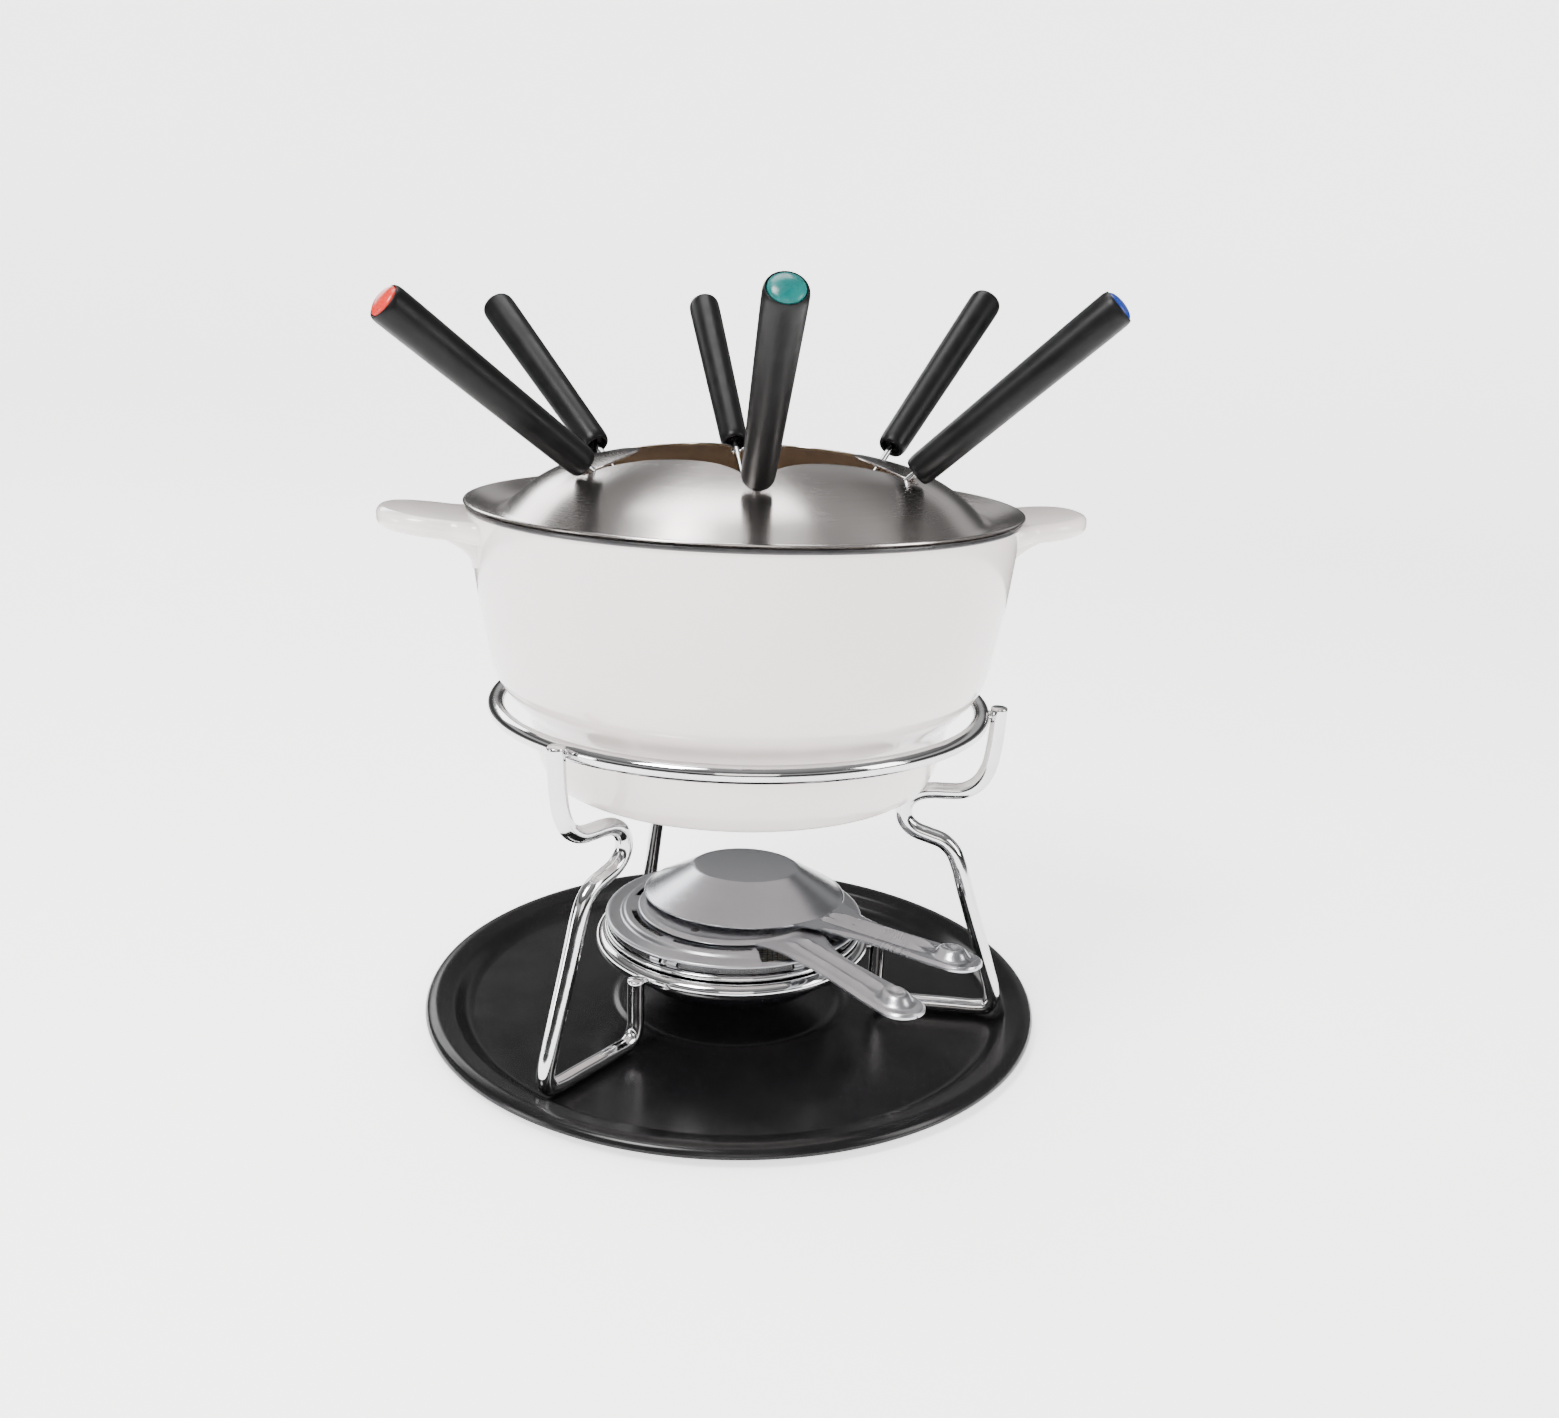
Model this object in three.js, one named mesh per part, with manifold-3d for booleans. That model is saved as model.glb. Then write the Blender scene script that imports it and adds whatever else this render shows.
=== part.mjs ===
// Fondue pot set: enamelled pot with a splash-guard lid, six forks, a chrome wire stand with a
// paste burner, and a round tray.
// Millimetres, +Z up, origin at the centre of the tray's underside. The front of the set faces -Y.
import * as THREE from 'three';
import { mergeVertices } from 'three/addons/utils/BufferGeometryUtils.js';
import Module from 'manifold-3d';

const wasm = await Module();
wasm.setup();

// ---------------------------------------------------------------- driving dimensions
const GAP = 0.3;                 // clearance left between pieces that touch
const DEG = Math.PI / 180;
const SEG = 32;                  // facets round every turned piece, so mating faces line up

const TRAY_R = 118.4;            // outer radius of the tray's rolled edge
const TRAY_FLOOR_R = 103.5;      // radius of the flat floor
const TRAY_T = 1.0;              // sheet thickness
const TRAY_FLANGE_Z = 6.9;       // top of the flange crest
const EMBOSS_R = 43.8;           // raised bead round the middle of the floor
const EMBOSS_H = 0.7;

const ROD_D = 6.2;               // stand wire
const ROD_R = ROD_D / 2;
const RING_R = 89.9;             // pot ring, wire centreline
const RING_Z = 122.8;
const BURNER_RING_R = 50.4;      // burner ring, wire centreline
const BURNER_RING_Z = 27.3;
const LEG_AZ = { leg_front_left: -127.5, leg_right: -7.5, leg_rear: 112.5 };
const LEG_R = RING_R + ROD_D + GAP;            // leg stands outside the pot ring
const UPRIGHT_R = BURNER_RING_R + ROD_D + GAP; // upright stands outside the burner ring
const FOOT_Z = TRAY_T + ROD_R + GAP;           // foot wire lies on the tray floor

const POT_BASE_Z = 95.6;         // underside of the pot's foot
const POT_WALL = 3.2;
const RIM_Z = 195.2;             // top of the pot's rim
const EAR_AXIS = 10.3;           // the two ears lie on one line through the axis
const EAR_TIP_R = 129.0;
const EAR_HALF_W = 23.5;
const EAR_T = 7.0;

const LID_R = 100;               // splash guard, outer radius
const LID_T = 0.9;
const PETAL_IN = 39.0;           // nearest point of each petal to the axis
const PETAL_K = 63.0;            // petal edge is the parabola u = PETAL_IN + v*v / PETAL_K
const LID_PHASE = 3.2;           // turns the six cusps about +Z

const HANDLE_L = 84;             // fork handle
const HANDLE_D0 = 10.9;          // at the stem end
const HANDLE_D1 = 12.9;          // at the coloured end
const STEM_D = 2.5;
const STEM_OUT = 112;            // free stem, handle to fork head
const HEAD_L = 36;               // fork head with its two tines
const NOTCH_R = 62.6;            // stem crosses the lid at this radius ...
const NOTCH_Z = 210.4;           // ... and at this height

// name, azimuth where the stem crosses the lid, azimuth of the fork's own direction,
// tilt from the vertical, distance from the lid crossing to the handle, cap colour
const FORKS = [
  ['front', -87.06, -84.80, 47.56, 2.6, 0x1f9e8e],
  ['front_right', -27.28, -15.06, 47.45, 2.4, 0x27408f],
  ['rear_right', 33.75, 49.26, 47.83, 5.9, 0xd9a521],
  ['rear', 94.34, 104.12, 50.33, 2.5, 0xe9e7e0],
  ['rear_left', 152.35, 132.21, 53.56, 2.8, 0xcf6a2c],
  ['front_left', 213.01, 215.87, 53.49, 2.4, 0xd63a2b],
];

const COVER_R = 49.9;            // burner cover plate
const COVER_LIP_Z = 37.3;        // top of its outer flat
const COVER_STEP_Z = 38.7;       // top of its raised flat
const WINDOW_A0 = -77, WINDOW_A1 = -33;        // control window in the cover
const REG_R = 37.4;              // turning regulator plate
const REG_TOP_Z = 40.0;
const REG_AZ = -54.5;            // direction of its handle
const REG_REACH = 107;           // axis to handle end
const CAP_R = 39.9;              // snuffer cap
const CAP_TOP_R = 21.0;
const CAP_H = 11.4;
const CAP_X = 4.0, CAP_Y = 12.15, CAP_Z = 39.72; // centre of its rim, off the burner's axis
const CAP_TILT = 0.047;          // it leans on the regulator's edge, lower where it overhangs
const CAP_AZ = -38.5;
const CAP_REACH = 107;

// ---------------------------------------------------------------- geometry helpers
// Position-only, merged, without collapsed triangles, outside facing out.
function clean(geometry) {
  const g = geometry.clone();
  g.deleteAttribute('normal');
  g.deleteAttribute('uv');
  const m = mergeVertices(g, 1e-4);
  const idx = m.index ? Array.from(m.index.array) : [...Array(m.attributes.position.count).keys()];
  const pos = m.attributes.position.array;
  const out = [];
  for (let i = 0; i < idx.length; i += 3) {
    const [a, b, c] = [idx[i], idx[i + 1], idx[i + 2]];
    if (a !== b && b !== c && a !== c) out.push(a, b, c);
  }
  let vol = 0;
  for (let i = 0; i < out.length; i += 3) {
    const [a, b, c] = [out[i] * 3, out[i + 1] * 3, out[i + 2] * 3];
    vol += pos[a] * (pos[b + 1] * pos[c + 2] - pos[b + 2] * pos[c + 1])
      - pos[a + 1] * (pos[b] * pos[c + 2] - pos[b + 2] * pos[c])
      + pos[a + 2] * (pos[b] * pos[c + 1] - pos[b + 1] * pos[c]);
  }
  if (vol < 0) for (let i = 0; i < out.length; i += 3) [out[i + 1], out[i + 2]] = [out[i + 2], out[i + 1]];
  const r = new THREE.BufferGeometry();
  r.setAttribute('position', new THREE.BufferAttribute(new Float32Array(pos), 3));
  r.setIndex(out);
  return r;
}

function toManifold(geometry) {
  const g = clean(geometry);
  return new wasm.Manifold(new wasm.Mesh({
    numProp: 3,
    vertProperties: new Float32Array(g.attributes.position.array),
    triVerts: new Uint32Array(g.index.array),
  }));
}

function fromManifold(m) {
  const mesh = m.getMesh();
  const g = new THREE.BufferGeometry();
  g.setAttribute('position', new THREE.BufferAttribute(new Float32Array(mesh.vertProperties), 3));
  g.setIndex(Array.from(mesh.triVerts));
  return g;
}

// Solid of revolution about +Z from a closed (r, z) outline.
function lathe(outline, segments = SEG) {
  const pts = outline.map(([r, z]) => new THREE.Vector2(r, z));
  const first = outline[0], last = outline[outline.length - 1];
  const onAxis = first[0] === 0 && last[0] === 0;
  if (!onAxis) pts.push(pts[0].clone());
  return new THREE.LatheGeometry(pts, segments).rotateX(Math.PI / 2);
}

function ring(R, z, r, segments = SEG, sides = 8) {
  const o = [];
  for (let i = 0; i < sides; i++) {
    const a = (i + 0.5) * 2 * Math.PI / sides;
    o.push([R + r * Math.cos(a), z + r * Math.sin(a)]);
  }
  return lathe(o, segments);
}

function circleShape(r, sides) {
  const s = new THREE.Shape();
  for (let i = 0; i < sides; i++) {
    const a = (i + 0.5) * 2 * Math.PI / sides;
    if (i === 0) s.moveTo(r * Math.cos(a), r * Math.sin(a));
    else s.lineTo(r * Math.cos(a), r * Math.sin(a));
  }
  s.closePath();
  return s;
}

// Flat outline (x, y), extruded upwards from z0 by h.
function plate(points, z0, h) {
  const s = new THREE.Shape(points.map(([x, y]) => new THREE.Vector2(x, y)));
  return new THREE.ExtrudeGeometry(s, { depth: h, bevelEnabled: false }).translate(0, 0, z0);
}

// Plate bounded by two radii and two azimuths (degrees).
function sector(r0, r1, a0, a1, z0, h, step = 4) {
  const n = Math.max(2, Math.ceil((a1 - a0) / step));
  const p = [];
  for (let i = 0; i <= n; i++) { const a = (a0 + (a1 - a0) * i / n) * DEG; p.push([r1 * Math.cos(a), r1 * Math.sin(a)]); }
  for (let i = n; i >= 0; i--) { const a = (a0 + (a1 - a0) * i / n) * DEG; p.push([r0 * Math.cos(a), r0 * Math.sin(a)]); }
  return plate(p, z0, h);
}

const polar = (r, azDeg, z) => new THREE.Vector3(r * Math.cos(azDeg * DEG), r * Math.sin(azDeg * DEG), z);

const group = new THREE.Group();
function add(name, geometry, color, roughness, metalness, parent = group) {
  const mesh = new THREE.Mesh(clean(geometry), new THREE.MeshStandardMaterial({ color, roughness, metalness }));
  mesh.name = name;
  parent.add(mesh);
  return mesh;
}

// ---------------------------------------------------------------- tray
{
  const t = TRAY_T, f = TRAY_FLANGE_Z;
  const o = [
    [0, t], [EMBOSS_R - 2.6, t], [EMBOSS_R - 0.8, t + EMBOSS_H], [EMBOSS_R + 0.8, t + EMBOSS_H], [EMBOSS_R + 2.6, t],
    [TRAY_FLOOR_R, t], [107.6, f - 1.3], [114.4, f], [TRAY_R - 0.6, f - 1.0], [TRAY_R, f - 3.6],
    [TRAY_R - 1.0, f - 3.6], [116.0, f - 1.4], [109.2, f - 2.0], [TRAY_FLOOR_R + 0.8, 0],
    [EMBOSS_R + 2.9, 0], [EMBOSS_R + 1.1, EMBOSS_H], [EMBOSS_R - 1.1, EMBOSS_H], [EMBOSS_R - 2.9, 0], [0, 0],
  ];
  add('tray', lathe(o), 0x0c0c0d, 0.38, 0.2);
}

// ---------------------------------------------------------------- wire stand
add('pot_ring', ring(RING_R, RING_Z, ROD_R), 0xd8d8da, 0.12, 1);
add('burner_ring', ring(BURNER_RING_R, BURNER_RING_Z, ROD_R), 0xd8d8da, 0.12, 1);

// Wire centreline of one leg in its own vertical plane, as (r, z).
const LEG_PATH = [
  [LEG_R, 126.2], [LEG_R - 0.3, 118.0], [LEG_R - 0.9, 110.0], [LEG_R - 2.4, 102.0], [LEG_R - 5.6, 96.2],
  [LEG_R - 10.6, 93.0], [79.5, 92.35], [74.5, 92.2], [69.6, 91.3], [65.6, 88.6], [63.8, 84.2],
  [64.8, 79.6], [68.4, 76.2], [73.6, 74.3], [79.0, 72.4], [83.2, 68.6], [85.9, 63.0],
  [88.7, 54.0], [92.4, 42.5], [96.2, 31.0], [99.6, 20.5], [102.0, 12.5], [102.4, 8.2],
  [100.6, 5.2], [96.6, FOOT_Z], [88.0, FOOT_Z], [78.0, FOOT_Z], [68.6, FOOT_Z], [62.2, FOOT_Z + 0.2],
  [58.6, FOOT_Z + 2.2], [UPRIGHT_R, FOOT_Z + 6.4], [UPRIGHT_R, 19.0], [UPRIGHT_R, 29.0],
];
for (const [name, az] of Object.entries(LEG_AZ)) {
  const curve = new THREE.CatmullRomCurve3(LEG_PATH.map(([r, z]) => polar(r, az, z)), false, 'centripetal');
  const g = new THREE.ExtrudeGeometry(circleShape(ROD_R, 8), { steps: 36, bevelEnabled: false, extrudePath: curve });
  add(name, g, 0xd8d8da, 0.12, 1);
}

// ---------------------------------------------------------------- burner
const burner = new THREE.Group();
group.add(burner);

// Black pressed bowl; its turned-out lip lies on the burner ring.
add('burner_bowl', lathe([
  [0, 8.6], [26.0, 8.6], [36.5, 13.0], [43.4, 19.2], [46.4, 27.5], [46.5, 30.1],
  [47.4, 31.1], [48.4, 31.4], [48.4, 32.0], [46.2, 31.8], [45.3, 27.6], [42.4, 20.2],
  [35.9, 14.2], [25.8, 9.8], [0, 9.8],
]), 0x0d0d0f, 0.3, 0.3, burner);

// Bright bead that trims the bowl's lip.
add('burner_rim', lathe([
  [48.8, 30.85], [49.7, 30.9], [50.1, 31.9], [49.5, 32.9], [47.0, 32.8], [47.0, 32.35], [48.8, 32.35],
]), 0xd8d8da, 0.1, 1, burner);

// Absorbent wadding that holds the fuel.
add('fuel_wadding', lathe([
  [0, 10.2], [25.4, 10.2], [35.6, 14.7], [41.7, 20.5], [43.9, 25.2], [42.0, 26.6], [0, 26.6],
]), 0xe6e2d6, 0.95, 0, burner);

// Wire gauze over the wadding, held by a springy ring.
add('burner_gauze', lathe([[0, 27.0], [40.6, 27.0], [40.6, 27.6], [0, 27.6]]), 0x9a9a9c, 0.4, 1, burner);
add('gauze_ring', lathe([[41.2, 26.95], [43.4, 26.95], [44.4, 27.6], [44.4, 28.9], [42.6, 28.9]]), 0xc8c8ca, 0.25, 1, burner);

// Cover plate: flame hole, raised flat, outer flat, skirt inside the bead; arc slots and a
// control window are cut through it.
{
  const s = COVER_STEP_Z, l = COVER_LIP_Z, t = 0.8;
  let m = toManifold(lathe([
    [24.0, s - t], [24.0, s], [42.4, s], [43.5, l], [COVER_R - 0.5, l], [COVER_R, l - 0.4], [COVER_R, l - 1.0],
    [48.7, l - 1.2], [48.7, 33.5], [47.9, 33.5], [47.9, l - t], [43.0, l - t], [42.0, s - t],
  ]));
  const cut = (g) => { m = m.subtract(toManifold(g)); };
  cut(sector(37.9, 40.0, -124, WINDOW_A0 - 2.5, 30, 12));
  for (const a of [8, 68, 128, 188]) cut(sector(37.9, 40.0, a, a + 40, 30, 12));
  cut(sector(37.9, 47.4, WINDOW_A0, WINDOW_A1, 35.5, 8));
  cut(sector(47.0, 50.5, -62, WINDOW_A1, 33.0, 2.6));
  add('burner_cover', fromManifold(m), 0xb9babc, 0.22, 1, burner);
}

// Outline of a pressed handle: wide root on the plate's edge, narrow neck, rounded end.
function handleOutline(rootR, rootHalf, neckR, neckHalf, endHalf, reach) {
  const side = [];
  const n = 8;
  for (let i = 0; i <= n; i++) {
    const t = i / n;
    const k = t * t * (3 - 2 * t);
    side.push([rootR + (neckR - rootR) * t, rootHalf + (neckHalf - rootHalf) * Math.sqrt(k)]);
  }
  side.push([reach - 22, endHalf * 0.97]);
  side.push([reach - 14, endHalf]);
  for (let i = 1; i <= 6; i++) {
    const a = i * 15 * DEG;
    side.push([reach - 9 + 9 * Math.sin(a), endHalf * Math.cos(a)]);
  }
  const lower = side.map(([x, y]) => [x, -y]);
  const upper = side.slice(0, -1).reverse();
  return lower.concat(upper);
}

// Regulator: turning ring plate with its handle, two ribs, a thumb dome and a stop tab that
// runs in the cover's window.
{
  const z1 = REG_TOP_Z, z0 = z1 - 1.0;
  let m = toManifold(lathe([[21.0, z0], [REG_R, z0], [REG_R, z1], [21.0, z1]]));
  const body = handleOutline(30, 16.0, 62, 7.6, 8.5, REG_REACH);
  m = m.add(toManifold(plate(body, z0, 1.0)));
  for (const y of [-3.3, 3.3]) {
    m = m.add(toManifold(plate([[40, y - 0.9], [86, y - 0.9], [86, y + 0.9], [40, y + 0.9]], z1 - 0.2, 1.1)));
  }
  m = m.add(toManifold(new THREE.CylinderGeometry(3.4, 6.6, 4.0, 24).rotateX(Math.PI / 2).translate(96.5, 0, z1 + 1.9)));
  m = m.add(toManifold(plate([[40.4, -2.2], [41.6, -2.2], [41.6, 2.2], [40.4, 2.2]], z0 - 1.6, 2.0)));
  for (const a of [0, 55, 110, 165, 220, 275]) {
    const h = new THREE.CylinderGeometry(1.7, 1.7, 4, 16).rotateX(Math.PI / 2)
      .translate(29.5 * Math.cos((a - 64.5) * DEG), 29.5 * Math.sin((a - 64.5) * DEG), z1);
    m = m.subtract(toManifold(h));
  }
  const g = fromManifold(m).rotateZ(REG_AZ * DEG);
  add('regulator', g, 0xb4b5b8, 0.25, 1, burner);
}

// Snuffer cap: hollow truncated cone with a long handle pressed from the same sheet.
{
  const t = 0.8;
  let m = toManifold(lathe([
    [0, CAP_H - t], [CAP_TOP_R - 0.6, CAP_H - t], [CAP_R - 2.0, 0.5], [CAP_R - 0.9, 0], [CAP_R, 0],
    [CAP_R, 0.8], [CAP_R - 1.2, 1.1], [CAP_TOP_R, CAP_H], [0, CAP_H],
  ]));
  let h = toManifold(plate(handleOutline(36.5, 17.0, 66, 8.4, 9.2, CAP_REACH), 0, 0.9));
  for (const y of [-3.5, 3.5]) {
    h = h.add(toManifold(plate([[40.5, y - 0.9], [86, y - 0.9], [86, y + 0.9], [40.5, y + 0.9]], 0.7, 1.1)));
  }
  h = h.add(toManifold(new THREE.CylinderGeometry(3.6, 7.0, 4.0, 24).rotateX(Math.PI / 2).translate(96.5, 0, 2.8)));
  // the handle starts at the rim and must not reach into the hollow
  h = h.subtract(toManifold(lathe([[0, -1], [CAP_R - 1.0, -1], [CAP_R - 1.0, 0.4], [CAP_R - 2.2, 1.0], [CAP_R - 4.4, 2.2], [0, 2.2]])));
  m = m.add(h);
  const off = Math.hypot(CAP_X, CAP_Y);
  const lean = new THREE.Matrix4().makeRotationAxis(new THREE.Vector3(-CAP_Y / off, CAP_X / off, 0), CAP_TILT);
  const g = fromManifold(m).rotateZ(CAP_AZ * DEG).applyMatrix4(lean).translate(CAP_X, CAP_Y, CAP_Z);
  add('snuffer_cap', g, 0xb4b5b8, 0.22, 1, burner);
}

// ---------------------------------------------------------------- pot
const POT_OUT = [
  [0, POT_BASE_Z], [69.4, POT_BASE_Z], [71.9, 97.2], [75.6, 106.0], [78.0, 119.0], [79.6, 122.4], [84.5, 127.6],
  [88.6, 133.5], [91.5, 141.0], [94.4, 157.0], [96.6, 173.0], [98.7, RIM_Z - 1.0], [98.2, RIM_Z],
];
const POT_IN = [
  [97.2, RIM_Z], [95.5, RIM_Z - 1.4], [93.3, 173.0], [91.1, 157.0], [88.2, 141.4], [85.4, 135.0], [80.6, 128.8],
  [75.4, 122.4], [73.9, 113.6], [72.2, 105.6], [68.6, 99.9], [63.0, POT_BASE_Z + POT_WALL], [0, POT_BASE_Z + POT_WALL],
];
{
  let m = toManifold(lathe(POT_OUT.concat(POT_IN)));
  // Ear: a flat tongue that rises slightly outwards, with a small fillet under its root.
  for (const az of [EAR_AXIS, EAR_AXIS + 180]) {
    const out = [];
    const n = 7, e = 24;
    const half = [];
    half.push([92, EAR_HALF_W + 3.5], [98.5, EAR_HALF_W + 2.6], [101.5, EAR_HALF_W + 0.6], [EAR_TIP_R - e, EAR_HALF_W]);
    for (let i = 1; i <= n; i++) {
      const a = (i / n) * 90 * DEG;
      half.push([EAR_TIP_R - e + e * Math.pow(Math.sin(a), 0.8), EAR_HALF_W * Math.pow(Math.cos(a), 0.8)]);
    }
    for (const [x, y] of half) out.push([x, -y]);
    for (const [x, y] of half.slice(0, -1).reverse()) out.push([x, y]);
    let tongue = toManifold(plate(out, -EAR_T, EAR_T).rotateY(-6.5 * DEG).translate(0, 0, 180.5));
    const fillet = new THREE.Shape([[93, 0], [108, 0], [101.5, -1.6], [98.6, -4.6], [97.4, -9], [93, -9]].map(([x, y]) => new THREE.Vector2(x, y)));
    const fg = new THREE.ExtrudeGeometry(fillet, { depth: 2 * EAR_HALF_W - 8, bevelEnabled: false })
      .translate(0, 0, -(EAR_HALF_W - 4)).rotateX(Math.PI / 2).translate(0, 0, 185.6);
    tongue = tongue.add(toManifold(fg));
    tongue = toManifold(fromManifold(tongue).rotateZ(az * DEG));
    m = m.add(tongue);
  }
  // keep the inside of the bowl clear of the ear roots
  const inside = [[0, POT_BASE_Z + POT_WALL]].concat(POT_IN.slice(0, -1).reverse(), [[97.2, RIM_Z + 12], [0, RIM_Z + 12]]);
  m = m.subtract(toManifold(lathe(inside)));
  add('pot', fromManifold(m), 0xf2efec, 0.12, 0);
}

// ---------------------------------------------------------------- splash-guard lid
// Stainless dome with a flat brim; its six-petalled opening has a cusp for each fork.
const LID_TOP = [
  [LID_R, 196.6], [LID_R, 197.2], [98.8, 197.3], [89.2, 193.2], [87.4, 193.4], [81.2, 199.2],
  [75.6, 203.3], [65.8, 208.2], [60.0, 210.2], [50.0, 212.7], [34.0, 214.9],
];
{
  const t = LID_T;
  const under = LID_TOP.slice(1).reverse().map(([r, z]) => [r - (r < 88 && r > 52 ? 0.35 : 0), z - t]);
  under.pop();
  const pts = LID_TOP.slice(1).concat(under, [[LID_R, 196.2]]);
  let m = toManifold(lathe(pts));
  // opening: union of the inner disc bounded by six petal edges
  const path = [];
  for (let k = 0; k < 6; k++) {
    const axis = LID_PHASE - 60 + 60 * k;    // petal axes lie between the forks
    const n = 8, vmax = 31.6;
    for (let i = 0; i < n; i++) {
      const v = -vmax + 2 * vmax * i / n;
      const u = PETAL_IN + v * v / PETAL_K;
      path.push([u * Math.cos(axis * DEG) - v * Math.sin(axis * DEG), u * Math.sin(axis * DEG) + v * Math.cos(axis * DEG)]);
    }
  }
  m = m.subtract(toManifold(plate(path, 180, 60)));
  for (const [, az, dirAz, tilt] of FORKS) {
    // open the cusp where the stem passes
    const c = new THREE.CylinderGeometry(STEM_D / 2 + 0.45, STEM_D / 2 + 0.45, 14, 12).rotateX(Math.PI / 2);
    c.rotateY(tilt * DEG).rotateZ(dirAz * DEG);
    const p = polar(NOTCH_R, az, NOTCH_Z);
    c.translate(p.x, p.y, p.z);
    m = m.subtract(toManifold(c));
  }
  add('splash_guard_lid', fromManifold(m), 0xb8b7b5, 0.3, 1);
}

// ---------------------------------------------------------------- forks
// Built along +Z with the handle's stem end at z = 0, then tilted into place.
function forkHead() {
  // two barbed tines on a small shoulder
  const w = 3.3;
  const p = [
    [-1.1, 0], [1.1, 0], [1.5, -4], [w, -9], [w, -33], [w + 0.1, -33.2], [w - 0.4, -HEAD_L], [w - 1.5, -31],
    [w - 1.5, -12], [0, -9.6], [-w + 1.5, -12], [-w + 1.5, -31], [-w + 0.4, -HEAD_L], [-w - 0.1, -33.2], [-w, -33], [-w, -9], [-1.5, -4],
  ];
  const s = new THREE.Shape(p.map(([x, y]) => new THREE.Vector2(x, y)));
  // the outline's y axis becomes the fork's axis
  return new THREE.ExtrudeGeometry(s, { depth: 1.3, bevelEnabled: false }).translate(0, 0, -0.65).rotateX(Math.PI / 2);
}
for (const [name, az, dirAz, tilt, back, capColor] of FORKS) {
  const g = new THREE.Group();
  const rot = new THREE.Group();
  g.add(rot);
  const d = new THREE.Vector3(Math.sin(tilt * DEG) * Math.cos(dirAz * DEG), Math.sin(tilt * DEG) * Math.sin(dirAz * DEG), Math.cos(tilt * DEG));
  const p = polar(NOTCH_R, az, NOTCH_Z).addScaledVector(d, back);
  g.position.copy(p);
  g.rotation.z = dirAz * DEG;
  rot.rotation.y = tilt * DEG;
  group.add(g);

  const r0 = HANDLE_D0 / 2, r1 = HANDLE_D1 / 2, bore = STEM_D / 2 + GAP;
  add(`fork_${name}_handle`, lathe([
    [bore, 40], [bore, 2.6], [3.6, 2.6], [3.9, 0], [r0 - 0.7, 0], [r0, 0.9],
    [r1, 72], [r1, HANDLE_L - 1.6], [r1 - 1.0, HANDLE_L], [5.6, HANDLE_L], [5.6, HANDLE_L - 2.4], [0, HANDLE_L - 2.4], [0, 40],
  ].reverse(), 16), 0x101011, 0.42, 0, rot);
  add(`fork_${name}_cap`, lathe([
    [0, HANDLE_L - 2.1], [5.2, HANDLE_L - 2.1], [5.2, HANDLE_L + 0.3], [3.4, HANDLE_L + 1.2], [0, HANDLE_L + 1.6],
  ], 16), capColor, 0.3, 0, rot);

  let stem = toManifold(new THREE.CylinderGeometry(STEM_D / 2, STEM_D / 2, STEM_OUT + 39.6, 12)
    .rotateX(Math.PI / 2).translate(0, 0, (39.6 - STEM_OUT) / 2));
  stem = stem.add(toManifold(forkHead().translate(0, 0, -STEM_OUT + 2)));
  add(`fork_${name}_stem`, fromManifold(stem), 0xcfcfd1, 0.18, 1, rot);
}

export default group;
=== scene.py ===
import bpy
import math
import random
from mathutils import Matrix, Vector


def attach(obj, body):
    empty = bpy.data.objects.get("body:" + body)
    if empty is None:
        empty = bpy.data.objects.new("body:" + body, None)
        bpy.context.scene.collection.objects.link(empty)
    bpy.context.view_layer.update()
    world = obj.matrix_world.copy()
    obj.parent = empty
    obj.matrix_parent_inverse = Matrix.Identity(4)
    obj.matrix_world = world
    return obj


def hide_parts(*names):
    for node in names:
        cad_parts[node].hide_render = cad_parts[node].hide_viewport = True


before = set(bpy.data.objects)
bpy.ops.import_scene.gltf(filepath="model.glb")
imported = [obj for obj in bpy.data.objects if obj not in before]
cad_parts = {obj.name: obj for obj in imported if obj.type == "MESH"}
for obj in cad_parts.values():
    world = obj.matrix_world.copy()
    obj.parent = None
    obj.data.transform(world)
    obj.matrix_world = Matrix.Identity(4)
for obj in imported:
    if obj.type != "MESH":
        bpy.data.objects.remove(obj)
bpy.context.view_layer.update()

MM = 0.001
DEG = math.pi / 180

# ------------------------------------------------------------------ camera
PITCH, ROLL, YAW = 0.2729, 0.0379, 0.0295
fwd = Vector((math.sin(YAW) * math.cos(PITCH), math.cos(YAW) * math.cos(PITCH), -math.sin(PITCH)))
right0 = Vector((math.cos(YAW), -math.sin(YAW), 0))
up0 = right0.cross(fwd)
right = math.cos(ROLL) * right0 + math.sin(ROLL) * up0
up = -math.sin(ROLL) * right0 + math.cos(ROLL) * up0
cam_data = bpy.data.cameras.new("camera")
cam = bpy.data.objects.new("camera", cam_data)
bpy.context.scene.collection.objects.link(cam)
cam_data.sensor_width = 36.0
cam_data.sensor_fit = "HORIZONTAL"
cam_data.lens = 1395.2 / 1559 * 36
cam_data.clip_start, cam_data.clip_end = 0.01, 50
rot = Matrix((right, up, -fwd)).transposed().to_4x4()
cam.matrix_world = Matrix.Translation((0, -0.50588, 0.261075)) @ rot
bpy.context.scene.camera = cam


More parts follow.
